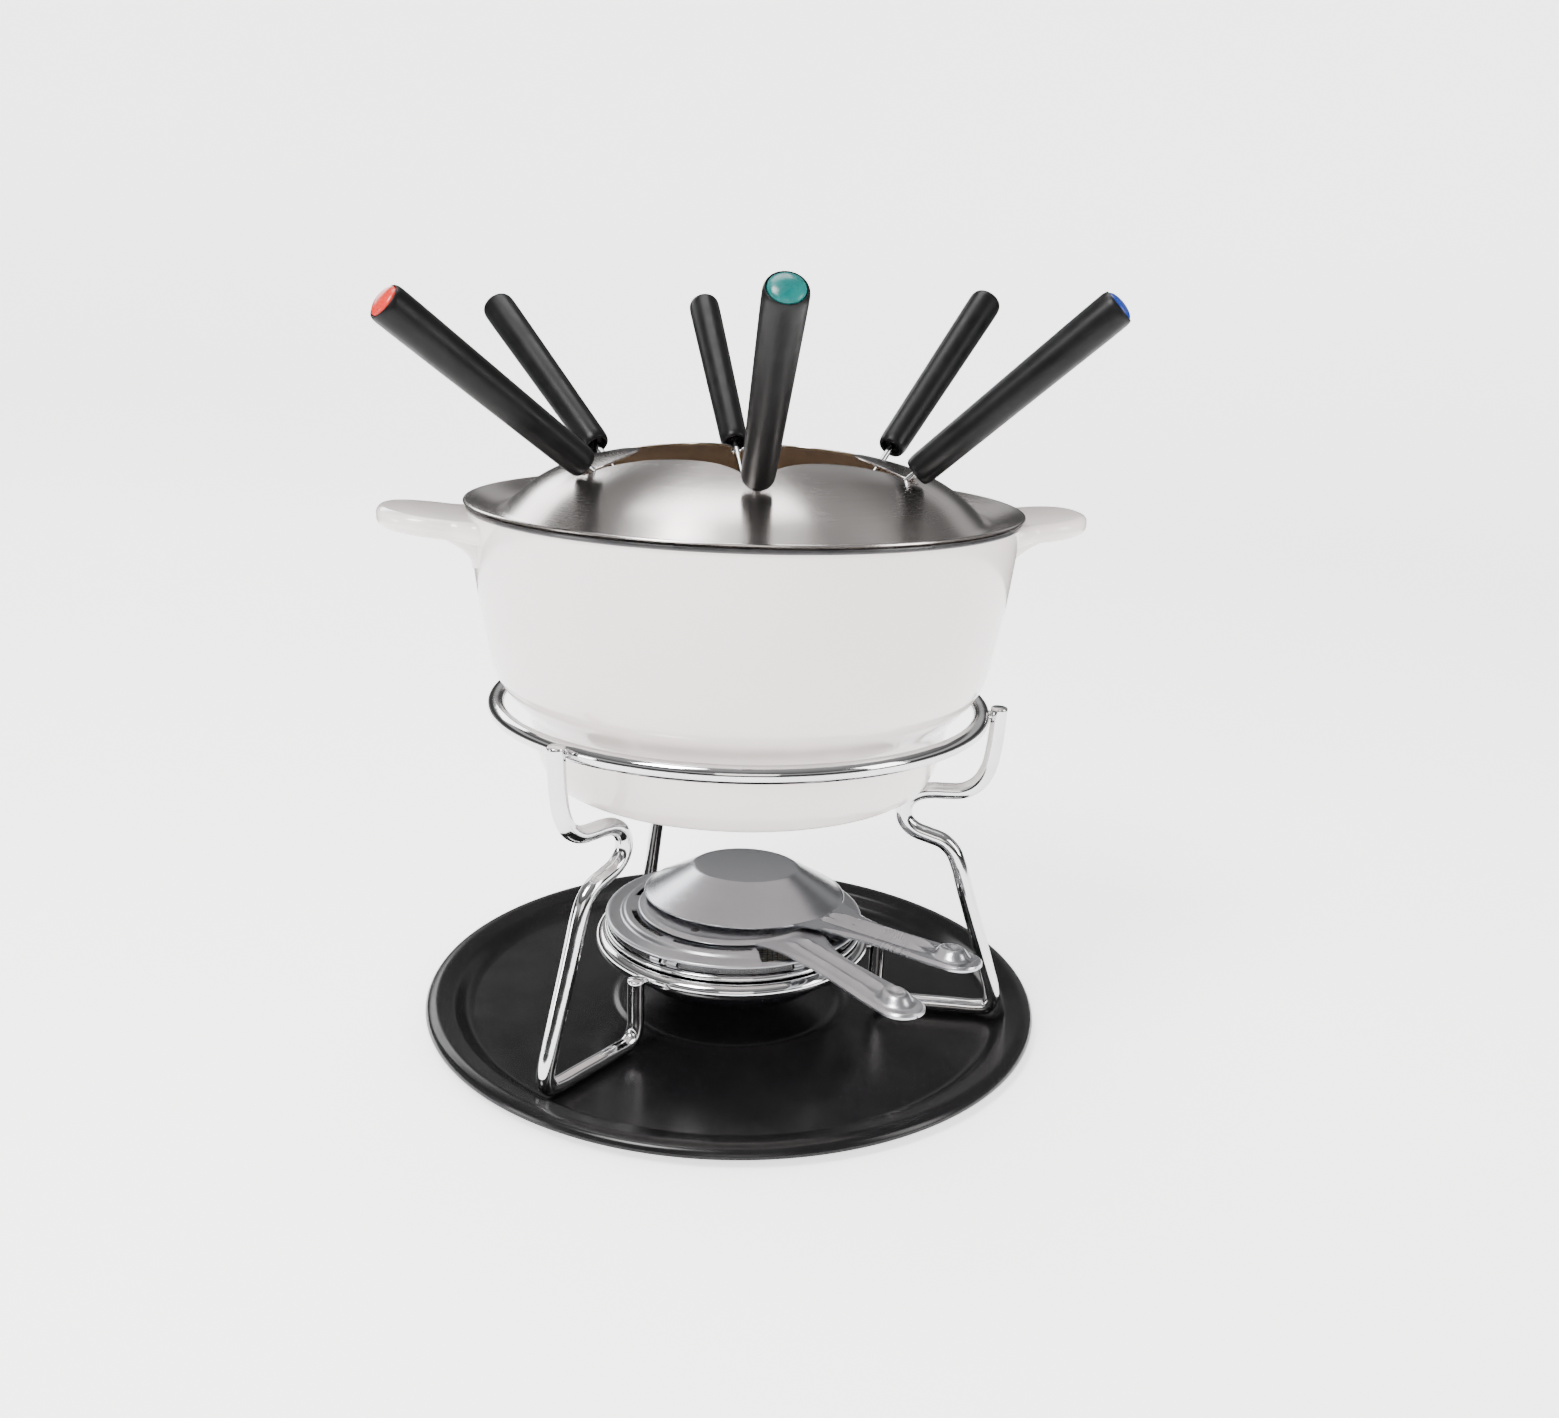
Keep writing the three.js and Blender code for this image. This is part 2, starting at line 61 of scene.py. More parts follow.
# ------------------------------------------------------------------ node helpers
class Nodes:
    def __init__(self, name):
        self.m = bpy.data.materials.new(name)
        self.m.use_nodes = True
        self.t = self.m.node_tree
        self.t.nodes.clear()
        self.out = self.t.nodes.new("ShaderNodeOutputMaterial")
        self.b = self.t.nodes.new("ShaderNodeBsdfPrincipled")
        self.t.links.new(self.b.outputs[0], self.out.inputs[0])
        self.coord = self.t.nodes.new("ShaderNodeTexCoord").outputs["Object"]

    def link(self, a, b):
        self.t.links.new(a, b)

    def noise(self, scale, detail=3, rough=0.5, vector=None, distortion=0.0):
        n = self.t.nodes.new("ShaderNodeTexNoise")
        n.inputs["Scale"].default_value = scale
        n.inputs["Detail"].default_value = detail
        n.inputs["Roughness"].default_value = rough
        n.inputs["Distortion"].default_value = distortion
        self.link(vector or self.coord, n.inputs["Vector"])
        return n.outputs["Fac"]

    def ramp(self, fac, stops):
        r = self.t.nodes.new("ShaderNodeValToRGB")
        e = r.color_ramp.elements
        while len(e) < len(stops):
            e.new(0.5)
        for el, (p, c) in zip(e, stops):
            el.position = p
            el.color = (*c, 1) if len(c) == 3 else c
        self.link(fac, r.inputs[0])
        return r.outputs[0]

    def span(self, fac, lo, hi, a=0.3, b=0.7):
        n = self.t.nodes.new("ShaderNodeMapRange")
        n.inputs["From Min"].default_value = a
        n.inputs["From Max"].default_value = b
        n.inputs["To Min"].default_value = lo
        n.inputs["To Max"].default_value = hi
        self.link(fac, n.inputs["Value"])
        return n.outputs[0]

    def math(self, op, a, b=None):
        n = self.t.nodes.new("ShaderNodeMath")
        n.operation = op
        for i, v in enumerate((a, b)):
            if v is None:
                continue
            if isinstance(v, (int, float)):
                n.inputs[i].default_value = v
            else:
                self.link(v, n.inputs[i])
        return n.outputs[0]

    def polar(self, kr, ka, kz, cx=0.0, cy=0.0):
        """(radius, angle, height) with its own scale on each, for spun and turned finishes."""
        s = self.t.nodes.new("ShaderNodeSeparateXYZ")
        self.link(self.coord, s.inputs[0])
        x = self.math("SUBTRACT", s.outputs[0], cx)
        y = self.math("SUBTRACT", s.outputs[1], cy)
        r = self.math("SQRT", self.math("ADD", self.math("MULTIPLY", x, x), self.math("MULTIPLY", y, y)))
        c = self.t.nodes.new("ShaderNodeCombineXYZ")
        self.link(self.math("MULTIPLY", r, kr), c.inputs[0])
        # cosine and sine of the angle keep the pattern free of a seam
        q = self.math("ADD", r, 1e-6)
        self.link(self.math("MULTIPLY", self.math("DIVIDE", x, q), ka), c.inputs[1])
        self.link(self.math("ADD", self.math("MULTIPLY", self.math("DIVIDE", y, q), ka * 1.3),
                            self.math("MULTIPLY", s.outputs[2], kz)), c.inputs[2])
        return c.outputs[0]

    def bump(self, height, strength, distance, normal=None):
        n = self.t.nodes.new("ShaderNodeBump")
        n.inputs["Strength"].default_value = strength
        n.inputs["Distance"].default_value = distance
        self.link(height, n.inputs["Height"])
        if normal is not None:
            self.link(normal, n.inputs["Normal"])
        self.link(n.outputs[0], self.b.inputs["Normal"])
        return n.outputs[0]

    def set(self, **kw):
        names = {"rough": "Roughness", "metal": "Metallic", "coat": "Coat Weight", "coat_rough": "Coat Roughness",
                 "aniso": "Anisotropic", "ior": "IOR", "sheen": "Sheen Weight", "spec": "Specular IOR Level",
                 "sss": "Subsurface Weight"}
        for k, v in kw.items():
            if k in names:
                self.b.inputs[names[k]].default_value = v
            else:
                self.b.inputs["Base Color"].default_value = (*v, 1)
        return self

    def tangent_z(self):
        self.b.inputs["Anisotropic Rotation"].default_value = 0.25
        n = self.t.nodes.new("ShaderNodeTangent")
        n.direction_type = "RADIAL"
        n.axis = "Z"
        self.link(n.outputs[0], self.b.inputs["Tangent"])


def enamel():
    n = Nodes("white_enamel")
    n.set(metal=0.0, coat=0.35, coat_rough=0.06, ior=1.5)
    c = n.ramp(n.noise(9, 4), [(0.3, (0.61, 0.55, 0.53)), (0.7, (0.66, 0.62, 0.605))])
    n.link(c, n.b.inputs["Base Color"])
    n.link(n.span(n.noise(30, 3), 0.10, 0.17), n.b.inputs["Roughness"])
    a = n.bump(n.noise(38, 2), 0.10, 0.0009)
    n.bump(n.noise(900, 2), 0.04, 0.0001, a)
    return n.m


# black for the pot's bare lip line, and also painted shade on the regulator's hole discs
def rim_and_hole_shade_black():
    n = Nodes("bare_rim_and_hole_shade")
    n.set(metal=0.0, coat=0.3, coat_rough=0.15)
    n.link(n.ramp(n.noise(120, 4), [(0.3, (0.008, 0.008, 0.009)), (0.7, (0.02, 0.019, 0.02))]), n.b.inputs["Base Color"])
    n.link(n.span(n.noise(200, 3), 0.25, 0.42), n.b.inputs["Roughness"])
    n.bump(n.noise(700, 3), 0.12, 0.0002)
    return n.m


def tray_black():
    n = Nodes("black_enamel")
    n.set(metal=0.0, ior=1.40, spec=0.38)
    n.link(n.ramp(n.noise(14, 5), [(0.3, (0.0030, 0.0030, 0.0034)), (0.7, (0.0060, 0.0058, 0.0062))]), n.b.inputs["Base Color"])
    n.link(n.span(n.noise(60, 4), 0.19, 0.27), n.b.inputs["Roughness"])
    a = n.bump(n.noise(18, 1), 0.05, 0.0008)
    n.bump(n.noise(1600, 2), 0.08, 0.00006, a)
    return n.m


def lacquer():
    n = Nodes("black_lacquer")
    n.set(metal=0.0, coat=0.6, coat_rough=0.05, ior=1.5)
    n.link(n.ramp(n.noise(40, 4), [(0.3, (0.003, 0.003, 0.004)), (0.7, (0.007, 0.007, 0.008))]), n.b.inputs["Base Color"])
    n.link(n.span(n.noise(90, 3), 0.12, 0.22), n.b.inputs["Roughness"])
    n.bump(n.noise(240, 3), 0.08, 0.0003)
    return n.m


def chrome(name="chrome_wire"):
    n = Nodes(name)
    n.set(metal=1.0)
    n.link(n.ramp(n.noise(45, 4), [(0.3, (0.55, 0.55, 0.56)), (0.7, (0.68, 0.68, 0.685))]), n.b.inputs["Base Color"])
    n.link(n.span(n.noise(220, 4), 0.045, 0.11), n.b.inputs["Roughness"])
    a = n.bump(n.noise(160, 3), 0.10, 0.00035)
    n.bump(n.noise(1500, 2), 0.06, 0.00004, a)
    return n.m


def spun(name, base, rough, aniso, ring=2600.0, cx=0.0, cy=0.0, wave=0.10, blotch=30):
    """Sheet steel polished on a lathe: fine rings, a slight cloudiness, light wear."""
    n = Nodes(name)
    n.set(metal=1.0, aniso=aniso)
    v = n.polar(ring, 1.4, 40.0, cx, cy)
    fine = n.noise(1.0, 4, 0.6, v)
    cloud = n.noise(blotch, 4, 0.55)
    lo = tuple(x * 0.92 for x in base)
    hi = tuple(min(1, x * 1.06) for x in base)
    mix = n.math("ADD", n.math("MULTIPLY", fine, 0.3), n.math("MULTIPLY", cloud, 0.7))
    n.link(n.ramp(mix, [(0.32, lo), (0.68, hi)]), n.b.inputs["Base Color"])
    n.link(n.span(mix, rough * 0.88, rough * 1.18), n.b.inputs["Roughness"])
    if aniso > 0:
        n.tangent_z()
    a = n.bump(fine, wave, 0.00004)
    n.bump(n.noise(14, 1), 0.05, 0.0006, a)
    return n.m


def handle_plastic():
    n = Nodes("black_plastic")
    n.set(metal=0.0, ior=1.4, spec=0.24)
    n.link(n.ramp(n.noise(80, 5), [(0.3, (0.0016, 0.0016, 0.0018)), (0.7, (0.0042, 0.0041, 0.0044))]), n.b.inputs["Base Color"])
    n.link(n.span(n.noise(130, 4), 0.30, 0.44), n.b.inputs["Roughness"])
    a = n.bump(n.noise(55, 2), 0.12, 0.0006)
    n.bump(n.noise(2400, 3), 0.22, 0.00009, a)
    return n.m


def cap_plastic(name, c):
    n = Nodes(name)
    n.set(metal=0.0, coat=0.12, coat_rough=0.15, ior=1.42, spec=0.35)
    lo = tuple(x * 0.8 for x in c)
    hi = tuple(min(1, x * 1.12 + 0.004) for x in c)
    n.link(n.ramp(n.noise(260, 4), [(0.3, lo), (0.7, hi)]), n.b.inputs["Base Color"])
    n.link(n.span(n.noise(500, 3), 0.2, 0.32), n.b.inputs["Roughness"])
    n.bump(n.noise(900, 3), 0.10, 0.0001)
    return n.m


def fork_steel():
    n = Nodes("fork_steel")
    n.set(metal=1.0)
    n.link(n.ramp(n.noise(300, 4), [(0.3, (0.56, 0.56, 0.57)), (0.7, (0.72, 0.72, 0.73))]), n.b.inputs["Base Color"])
    n.link(n.span(n.noise(700, 4), 0.12, 0.24), n.b.inputs["Roughness"])
    n.bump(n.noise(1800, 3), 0.12, 0.00006)
    return n.m


def fibre():
    n = Nodes("wadding")
    n.set(metal=0.0, sheen=0.4)
    f = n.noise(420, 6, 0.7, distortion=2.2)
    n.link(n.ramp(f, [(0.28, (0.46, 0.42, 0.34)), (0.7, (0.8, 0.77, 0.7))]), n.b.inputs["Base Color"])
    n.link(n.span(f, 0.85, 1.0), n.b.inputs["Roughness"])
    n.bump(f, 0.9, 0.0009)
    return n.m


def gauze_metal():
    n = Nodes("steel_gauze")
    n.set(metal=1.0)
    n.link(n.ramp(n.noise(200, 4), [(0.3, (0.25, 0.25, 0.26)), (0.7, (0.5, 0.49, 0.48))]), n.b.inputs["Base Color"])
    n.link(n.span(n.noise(500, 3), 0.25, 0.45), n.b.inputs["Roughness"])
    n.bump(n.noise(2500, 2), 0.2, 0.00005)
    return n.m


M_ENAMEL, M_RIM_AND_HOLE_SHADE, M_TRAY, M_LACQ, M_CHROME = enamel(), rim_and_hole_shade_black(), tray_black(), lacquer(), chrome()
M_LID = spun("stainless_lid", (0.56, 0.525, 0.51), 0.25, 0.85, ring=2600.0, wave=0.025)
# the lid underside's straw-brown base colour is a painted warm reflection
M_LID_UNDER_PAINTED_REFLECTION = spun("stainless_lid_under_painted_reflection", (0.40, 0.285, 0.165), 0.30, 0.5, ring=2300.0, wave=0.12)
M_SHEET = spun("stainless_sheet", (0.42, 0.426, 0.448), 0.30, 0.0, ring=1500.0, wave=0.012)
M_CAPSHEET = spun("stainless_cap", (0.42, 0.428, 0.455), 0.25, 0.0, ring=1500.0, cx=0.004, cy=0.01215, wave=0.012)
M_SKIRT = spun("stainless_skirt", (0.34, 0.34, 0.35), 0.14, 0.3, ring=300.0, wave=0.05)
M_PLASTIC, M_STEEL, M_FIBRE, M_GAUZE = handle_plastic(), fork_steel(), fibre(), gauze_metal()


# ------------------------------------------------------------------ mesh helpers (millimetres in)
def build(name, verts, faces, material, body=None, slot=None, replaces=(), sharp=38, transform=None):
    me = bpy.data.meshes.new(name)
    pts = [Vector(v) for v in verts]
    if transform is not None:
        pts = [transform @ p for p in pts]
    me.from_pydata([tuple(p * MM) for p in pts], [], faces)
    me.validate()
    import bmesh
    bm = bmesh.new()
    bm.from_mesh(me)
    bmesh.ops.remove_doubles(bm, verts=bm.verts, dist=2e-7)
    bmesh.ops.recalc_face_normals(bm, faces=bm.faces)
    bm.to_mesh(me)
    bm.free()
    for p in me.polygons:
        p.use_smooth = True
    if sharp:
        me.set_sharp_from_angle(angle=sharp * DEG)
    me.materials.append(material)
    o = bpy.data.objects.new(name, me)
    bpy.context.scene.collection.objects.link(o)
    if body:
        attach(o, body)
    if replaces:
        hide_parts(*replaces)
    return o


def rounded(pts, closed=True, n=5):
    """(r, z[, radius]) corners to a smooth outline, each corner cut by a short curve."""
    out = []
    m = len(pts)
    for i, p in enumerate(pts):
        rad = p[2] if len(p) > 2 else 0
        a, b, c = Vector(pts[i - 1][:2]), Vector(p[:2]), Vector(pts[(i + 1) % m][:2])
        if rad <= 0 or (not closed and i in (0, m - 1)):
            out.append((b.x, b.y))
            continue
        da = min(rad, (a - b).length * 0.48)
        dc = min(rad, (c - b).length * 0.48)
        s, e = b + (a - b).normalized() * da, b + (c - b).normalized() * dc
        for k in range(n + 1):
            t = k / n
            q = s * (1 - t) ** 2 + b * 2 * t * (1 - t) + e * t * t
            out.append((q.x, q.y))
    return out


def crom(pts, per=6):
    """Centripetal curve through points of any dimension."""
    P = [Vector(p) for p in pts]
    P = [P[0] * 2 - P[1]] + P + [P[-1] * 2 - P[-2]]
    out = []
    for i in range(1, len(P) - 2):
        p0, p1, p2, p3 = P[i - 1:i + 3]
        t0 = 0
        t1 = t0 + max((p1 - p0).length, 1e-6) ** 0.5
        t2 = t1 + max((p2 - p1).length, 1e-6) ** 0.5
        t3 = t2 + max((p3 - p2).length, 1e-6) ** 0.5
        for k in range(per):
            t = t1 + (t2 - t1) * k / per
            a1 = p0 * ((t1 - t) / (t1 - t0)) + p1 * ((t - t0) / (t1 - t0))
            a2 = p1 * ((t2 - t) / (t2 - t1)) + p2 * ((t - t1) / (t2 - t1))
            a3 = p2 * ((t3 - t) / (t3 - t2)) + p3 * ((t - t2) / (t3 - t2))
            b1 = a1 * ((t2 - t) / (t2 - t0)) + a2 * ((t - t0) / (t2 - t0))
            b2 = a2 * ((t3 - t) / (t3 - t1)) + a3 * ((t - t1) / (t3 - t1))
            out.append(b1 * ((t2 - t) / (t2 - t1)) + b2 * ((t - t1) / (t2 - t1)))
    out.append(P[-2])
    return out


def lathe_data(outline, seg=160):
    """Closed solid of revolution; outline points on the axis become poles."""
    verts, rows = [], []
    for r, z in outline:
        if r < 1e-6:
            rows.append([len(verts)])
            verts.append((0, 0, z))
        else:
            rows.append(list(range(len(verts), len(verts) + seg)))
            for k in range(seg):
                a = 2 * math.pi * k / seg
                verts.append((r * math.cos(a), r * math.sin(a), z))
    faces = []
    m = len(rows)
    for i in range(m):
        A, B = rows[i], rows[(i + 1) % m]
        if len(A) == 1 and len(B) == 1:
            continue
        for k in range(seg):
            j = (k + 1) % seg
            if len(A) == 1:
                faces.append((A[0], B[k], B[j]))
            elif len(B) == 1:
                faces.append((A[k], A[j], B[0]))
            else:
                faces.append((A[k], A[j], B[j], B[k]))
    return verts, faces


def torus_data(R, z, r, seg=192, sides=24):
    return lathe_data([(R + r * math.cos(2 * math.pi * k / sides), z + r * math.sin(2 * math.pi * k / sides))
                       for k in range(sides)], seg)


def tube_data(path, r, sides=22, bevel=0.35):
    P = [Vector(p) for p in path]
    T = [(P[min(i + 1, len(P) - 1)] - P[max(i - 1, 0)]).normalized() for i in range(len(P))]
    side = T[0].orthogonal().normalized()
    verts, rows = [], []

    def ring(c, t, s, rr):
        b = t.cross(s)
        rows.append(list(range(len(verts), len(verts) + sides)))
        for k in range(sides):
            a = 2 * math.pi * k / sides
            verts.append(tuple(c + (s * math.cos(a) + b * math.sin(a)) * rr))

    for i, c in enumerate(P):
        side = (side - T[i] * side.dot(T[i])).normalized()
        if i == 0:
            ring(c, T[i], side, r - bevel)
            ring(c + T[i] * bevel, T[i], side, r)
            continue
        if i == len(P) - 1:
            ring(c - T[i] * bevel, T[i], side, r)
            ring(c, T[i], side, r - bevel)
            continue
        ring(c, T[i], side, r)
    faces = [tuple(reversed(rows[0])), tuple(rows[-1])]
    for A, B in zip(rows, rows[1:]):
        for k in range(sides):
            j = (k + 1) % sides
            faces.append((A[k], A[j], B[j], B[k]))
    return verts, faces


def slab_data(outline, top, bottom, edge, layers=4):
    """Solid with the given outline, rounded all round its edge. top and bottom give z at (x, y)."""
    n = len(outline)
    P = [Vector(p) for p in outline]
    area = sum(P[i].x * P[(i + 1) % n].y - P[(i + 1) % n].x * P[i].y for i in range(n))
    if area < 0:
        P.reverse()
    nor = []
    for i in range(n):
        t = (P[(i + 1) % n] - P[i - 1]).normalized()
        nor.append(Vector((-t.y, t.x)))
    verts, rows = [], []
    steps = [(-1, math.pi / 2 * k / layers) for k in range(layers, 0, -1)] + [(1, math.pi / 2 * k / layers) for k in range(0, layers + 1)]
    for sgn, a in steps:
        off = edge * (1 - math.cos(a))
        rows.append(list(range(len(verts), len(verts) + n)))
        for i in range(n):
            q = P[i] + nor[i] * off
            zt, zb = top(q.x, q.y), bottom(q.x, q.y)
            zm, hh = (zt + zb) / 2, (zt - zb) / 2
            h = max(hh - edge, 0)
            z = zm + sgn * (h + min(edge, hh) * math.sin(a))
            verts.append((q.x, q.y, z))
    faces = [tuple(reversed(rows[0])), tuple(rows[-1])]
    for A, B in zip(rows, rows[1:]):
        for k in range(n):
            j = (k + 1) % n
            faces.append((A[k], A[j], B[j], B[k]))
    return verts, faces


def join(*parts):
    verts, faces = [], []
    for v, f in parts:
        o = len(verts)
        verts += list(v)
        faces += [tuple(i + o for i in q) for q in f]
    return verts, faces


def turned(data, az=0.0, shift=(0, 0, 0)):
    c, s = math.cos(az * DEG), math.sin(az * DEG)
    return [(x * c - y * s + shift[0], x * s + y * c + shift[1], z + shift[2]) for x, y, z in data[0]], data[1]


def skin_data(grid_fn, us, vs, thick):
    """Thin pressed sheet over a (u, v) grid; grid_fn gives the top surface. Closed at its edges."""
    nu, nv = len(us), len(vs)
    top = [Vector(grid_fn(u, v)) for u in us for v in vs]
    idx = lambda i, j: i * nv + j
    nor = []
    for i in range(nu):
        for j in range(nv):
            a = top[idx(min(i + 1, nu - 1), j)] - top[idx(max(i - 1, 0), j)]
            b = top[idx(i, min(j + 1, nv - 1))] - top[idx(i, max(j - 1, 0))]
            q = a.cross(b)
            q = q.normalized() if q.length > 1e-9 else Vector((0, 0, 1))
            if q.z < 0:
                q = -q
            nor.append(q)
    bot = [p - q * thick for p, q in zip(top, nor)]
    mid = []
    verts = [tuple(p) for p in top] + [tuple(p) for p in bot]
    N = nu * nv
    faces = []
    for i in range(nu - 1):
        for j in range(nv - 1):
            a, b, c, d = idx(i, j), idx(i + 1, j), idx(i + 1, j + 1), idx(i, j + 1)
            faces.append((a, b, c, d))
            faces.append((a + N, d + N, c + N, b + N))
    edge = [idx(i, 0) for i in range(nu)] + [idx(nu - 1, j) for j in range(1, nv)] \
        + [idx(i, nv - 1) for i in range(nu - 2, -1, -1)] + [idx(0, j) for j in range(nv - 2, 0, -1)]
    for k in range(len(edge)):
        a, b = edge[k], edge[(k + 1) % len(edge)]
        faces.append((a, b, b + N, a + N))
    return verts, faces


def smoothstep(a, b, x):
    t = min(1, max(0, (x - a) / (b - a)))
    return t * t * (3 - 2 * t)


def interp(table, x):
    for (x0, y0), (x1, y1) in zip(table, table[1:]):
        if x <= x1:
            return y0 + (y1 - y0) * (x - x0) / (x1 - x0)
    return table[-1][1]


# ------------------------------------------------------------------ tray
tray = rounded([
    (0, 1.0), (40.9, 1.0, 1.2), (43.0, 1.7, 0.9), (44.6, 1.7, 0.9), (46.7, 1.0, 1.2), (102.6, 1.0, 2.4),
    (107.4, 5.5, 1.6), (109.2, 5.95, 1.2), (114.2, 6.9, 1.6), (117.2, 6.3, 1.4), (118.4, 4.6, 1.2), (118.4, 3.3, 0.4),
    (117.4, 3.3, 0.4), (117.2, 4.2, 0.9), (116.2, 5.3, 1.2), (114.1, 5.9, 1.4), (109.4, 5.0, 1.2), (108.0, 4.6, 1.4),
    (103.4, 0.02, 2.4), (46.9, 0.02, 1.0), (44.8, 0.7, 0.9), (42.8, 0.7, 0.9), (40.7, 0.02, 1.0), (0, 0.02)], n=6)
v, f = lathe_data(tray, 224)
build("tray_shell", v, f, M_TRAY, "tray", "black_enamel", ("tray",), sharp=0)

# ------------------------------------------------------------------ wire stand
RR = 3.1
RING_R, RING_Z, BRING_R, BRING_Z = 89.9, 122.8, 50.4, 27.3
v, f = torus_data(RING_R, RING_Z, RR)
build("pot_ring_wire", v, f, M_CHROME, "stand", "chrome_wire", ("pot_ring",), sharp=0)
v, f = torus_data(BRING_R, BRING_Z, RR)
build("burner_ring_wire", v, f, M_CHROME, "stand", "chrome_wire", ("burner_ring",), sharp=0)

LEG_PATH = [
    (96.4, 126.2), (96.1, 118.0), (95.5, 110.0), (94.0, 102.0), (90.8, 96.2), (85.8, 93.0), (79.5, 92.35), (74.5, 92.2),
    (69.6, 91.3), (65.6, 88.6), (63.8, 84.2), (64.8, 79.6), (68.4, 76.2), (73.6, 74.3), (79.0, 72.4), (83.2, 68.6),
    (85.9, 63.0), (88.7, 54.0), (92.4, 42.5), (96.2, 31.0), (99.6, 20.5), (102.0, 12.5), (102.4, 8.2), (100.6, 5.2),
    (96.6, 4.4), (88.0, 4.4), (78.0, 4.4), (68.6, 4.4), (62.2, 4.6), (58.6, 6.6), (56.9, 10.8), (56.9, 19.0), (56.9, 29.0)]


def bead(at, axis_len, across, seed):
    """A small weld puddle: a drop shape with a few soft lumps."""
    rnd = random.Random(seed)
    ph = [rnd.uniform(0, 6.28) for _ in range(4)]
    verts, faces, nu, nv = [], [], 14, 20
    for i in range(nu + 1):
        th = math.pi * i / nu
        for j in range(nv):
            a = 2 * math.pi * j / nv
            k = 1 + 0.07 * math.sin(3 * a + ph[0]) * math.sin(th) + 0.05 * math.sin(2 * th + ph[1] + a)
            verts.append((across * math.sin(th) * math.cos(a) * k, axis_len * math.sin(th) * math.sin(a) * k,
                          across * 1.15 * math.cos(th) * k))
    for i in range(nu):
        for j in range(nv):
            q = (j + 1) % nv
            faces.append((i * nv + j, i * nv + q, (i + 1) * nv + q, (i + 1) * nv + j))
    return [(x + at[0], y + at[1], z + at[2]) for x, y, z in verts], faces


for name, az in (("leg_front_left", -127.5), ("leg_right", -7.5), ("leg_rear", 112.5)):
    path = crom([(r * math.cos(az * DEG), r * math.sin(az * DEG), z) for r, z in LEG_PATH], 7)
    v, f = tube_data(path, RR)
    build(name + "_wire", v, f, M_CHROME, "stand", "chrome_wire", (name,), sharp=50)
    w = [turned(bead((RING_R + RR + 0.15, 0, RING_Z + 0.2), 2.1, 1.35, 3), az),
         turned(bead((BRING_R + RR + 0.15, 0, BRING_Z - 0.2), 2.1, 1.35, 5), az)]
    v, f = join(*w)
    build(name + "_welds", v, f, M_CHROME, "stand", "chrome_wire", sharp=0)

# ------------------------------------------------------------------ burner
bowl = rounded([
    (0, 8.65), (25.0, 8.65, 3.0), (36.6, 12.9, 4.0), (43.4, 19.2, 4.0), (46.3, 27.3, 2.0), (46.5, 30.1, 0.8),
    (47.4, 31.1, 0.5), (48.4, 31.35, 0.3), (48.4, 31.95, 0.25), (46.4, 31.8, 0.8), (45.4, 27.6, 2.0), (42.4, 20.1, 4.0),
    (35.9, 14.0, 4.0), (24.8, 9.7, 3.0), (0, 9.7)], n=7)
v, f = lathe_data(bowl, 160)
build("burner_bowl_shell", v, f, M_LACQ, "burner", "black_lacquer", ("burner_bowl",), sharp=0)
trim = rounded([(48.75, 30.9, 0.4), (49.7, 30.75, 0.5), (50.25, 31.85, 0.7), (49.5, 32.95, 0.5), (47.0, 32.85, 0.2),
                (47.0, 32.3, 0.15), (48.75, 32.3, 0.3)], n=4)
v, f = lathe_data(trim, 192)
build("burner_trim", v, f, M_CHROME, "burner", "chrome_wire", ("burner_rim",), sharp=60)

fib = rounded([(0, 10.3), (24.6, 10.3, 2), (35.2, 14.9, 3), (41.4, 20.7, 3), (43.6, 25.0, 1.4), (41.6, 26.3, 1.4), (30.0, 26.5),
               (20.0, 26.5), (10.0, 26.5), (0, 26.5)], n=5)
v, f = lathe_data(fib, 120)
rnd = random.Random(11)
v = [(x, y, z + (0.22 * math.sin(x * 0.9 + 2 * math.sin(y * 0.31)) * math.cos(y * 0.7) - 0.25 if z > 26 else 0)) for x, y, z in v]
wad = build("fuel_fibre", v, f, M_FIBRE, "burner", "wadding", ("fuel_wadding",), sharp=0)

# woven wire gauze: over-and-under wires in two directions inside a disc
gv, gf = [], []
PITCH_W, GR, WR = 1.9, 40.4, 0.14
cnt = int(GR / PITCH_W)
for d in (0, 1):
    for i in range(-cnt, cnt + 1):
        c = i * PITCH_W
        half = math.sqrt(max(GR * GR - c * c, 0))
        if half < 2:
            continue
        m = max(4, int(2 * half / (PITCH_W / 2)))
        pts = []
        for k in range(m + 1):
            s = -half + 2 * half * k / m
            ph = math.cos(math.pi * s / PITCH_W) * (1 if (i + d) % 2 else -1)
            z = 27.3 + 0.13 * ph
            pts.append((s, c, z) if d == 0 else (c, s, z))
        tv, tf = tube_data(pts, WR, 5, 0.02)
        o = len(gv)
        gv += tv
        gf += [tuple(q + o for q in w) for w in tf]
build("gauze_weave", gv, gf, M_GAUZE, "burner", "steel_gauze", ("burner_gauze",), sharp=0)
gring = rounded([(41.2, 26.95, 0.2), (43.4, 26.95, 0.3), (44.4, 27.7, 0.5), (44.4, 28.9, 0.3), (43.7, 28.9, 0.2), (42.6, 28.5, 0.5)], n=3)
v, f = lathe_data(gring, 160)
build("gauze_spring_ring", v, f, M_CHROME, "burner", "chrome_wire", ("gauze_ring",), sharp=60)


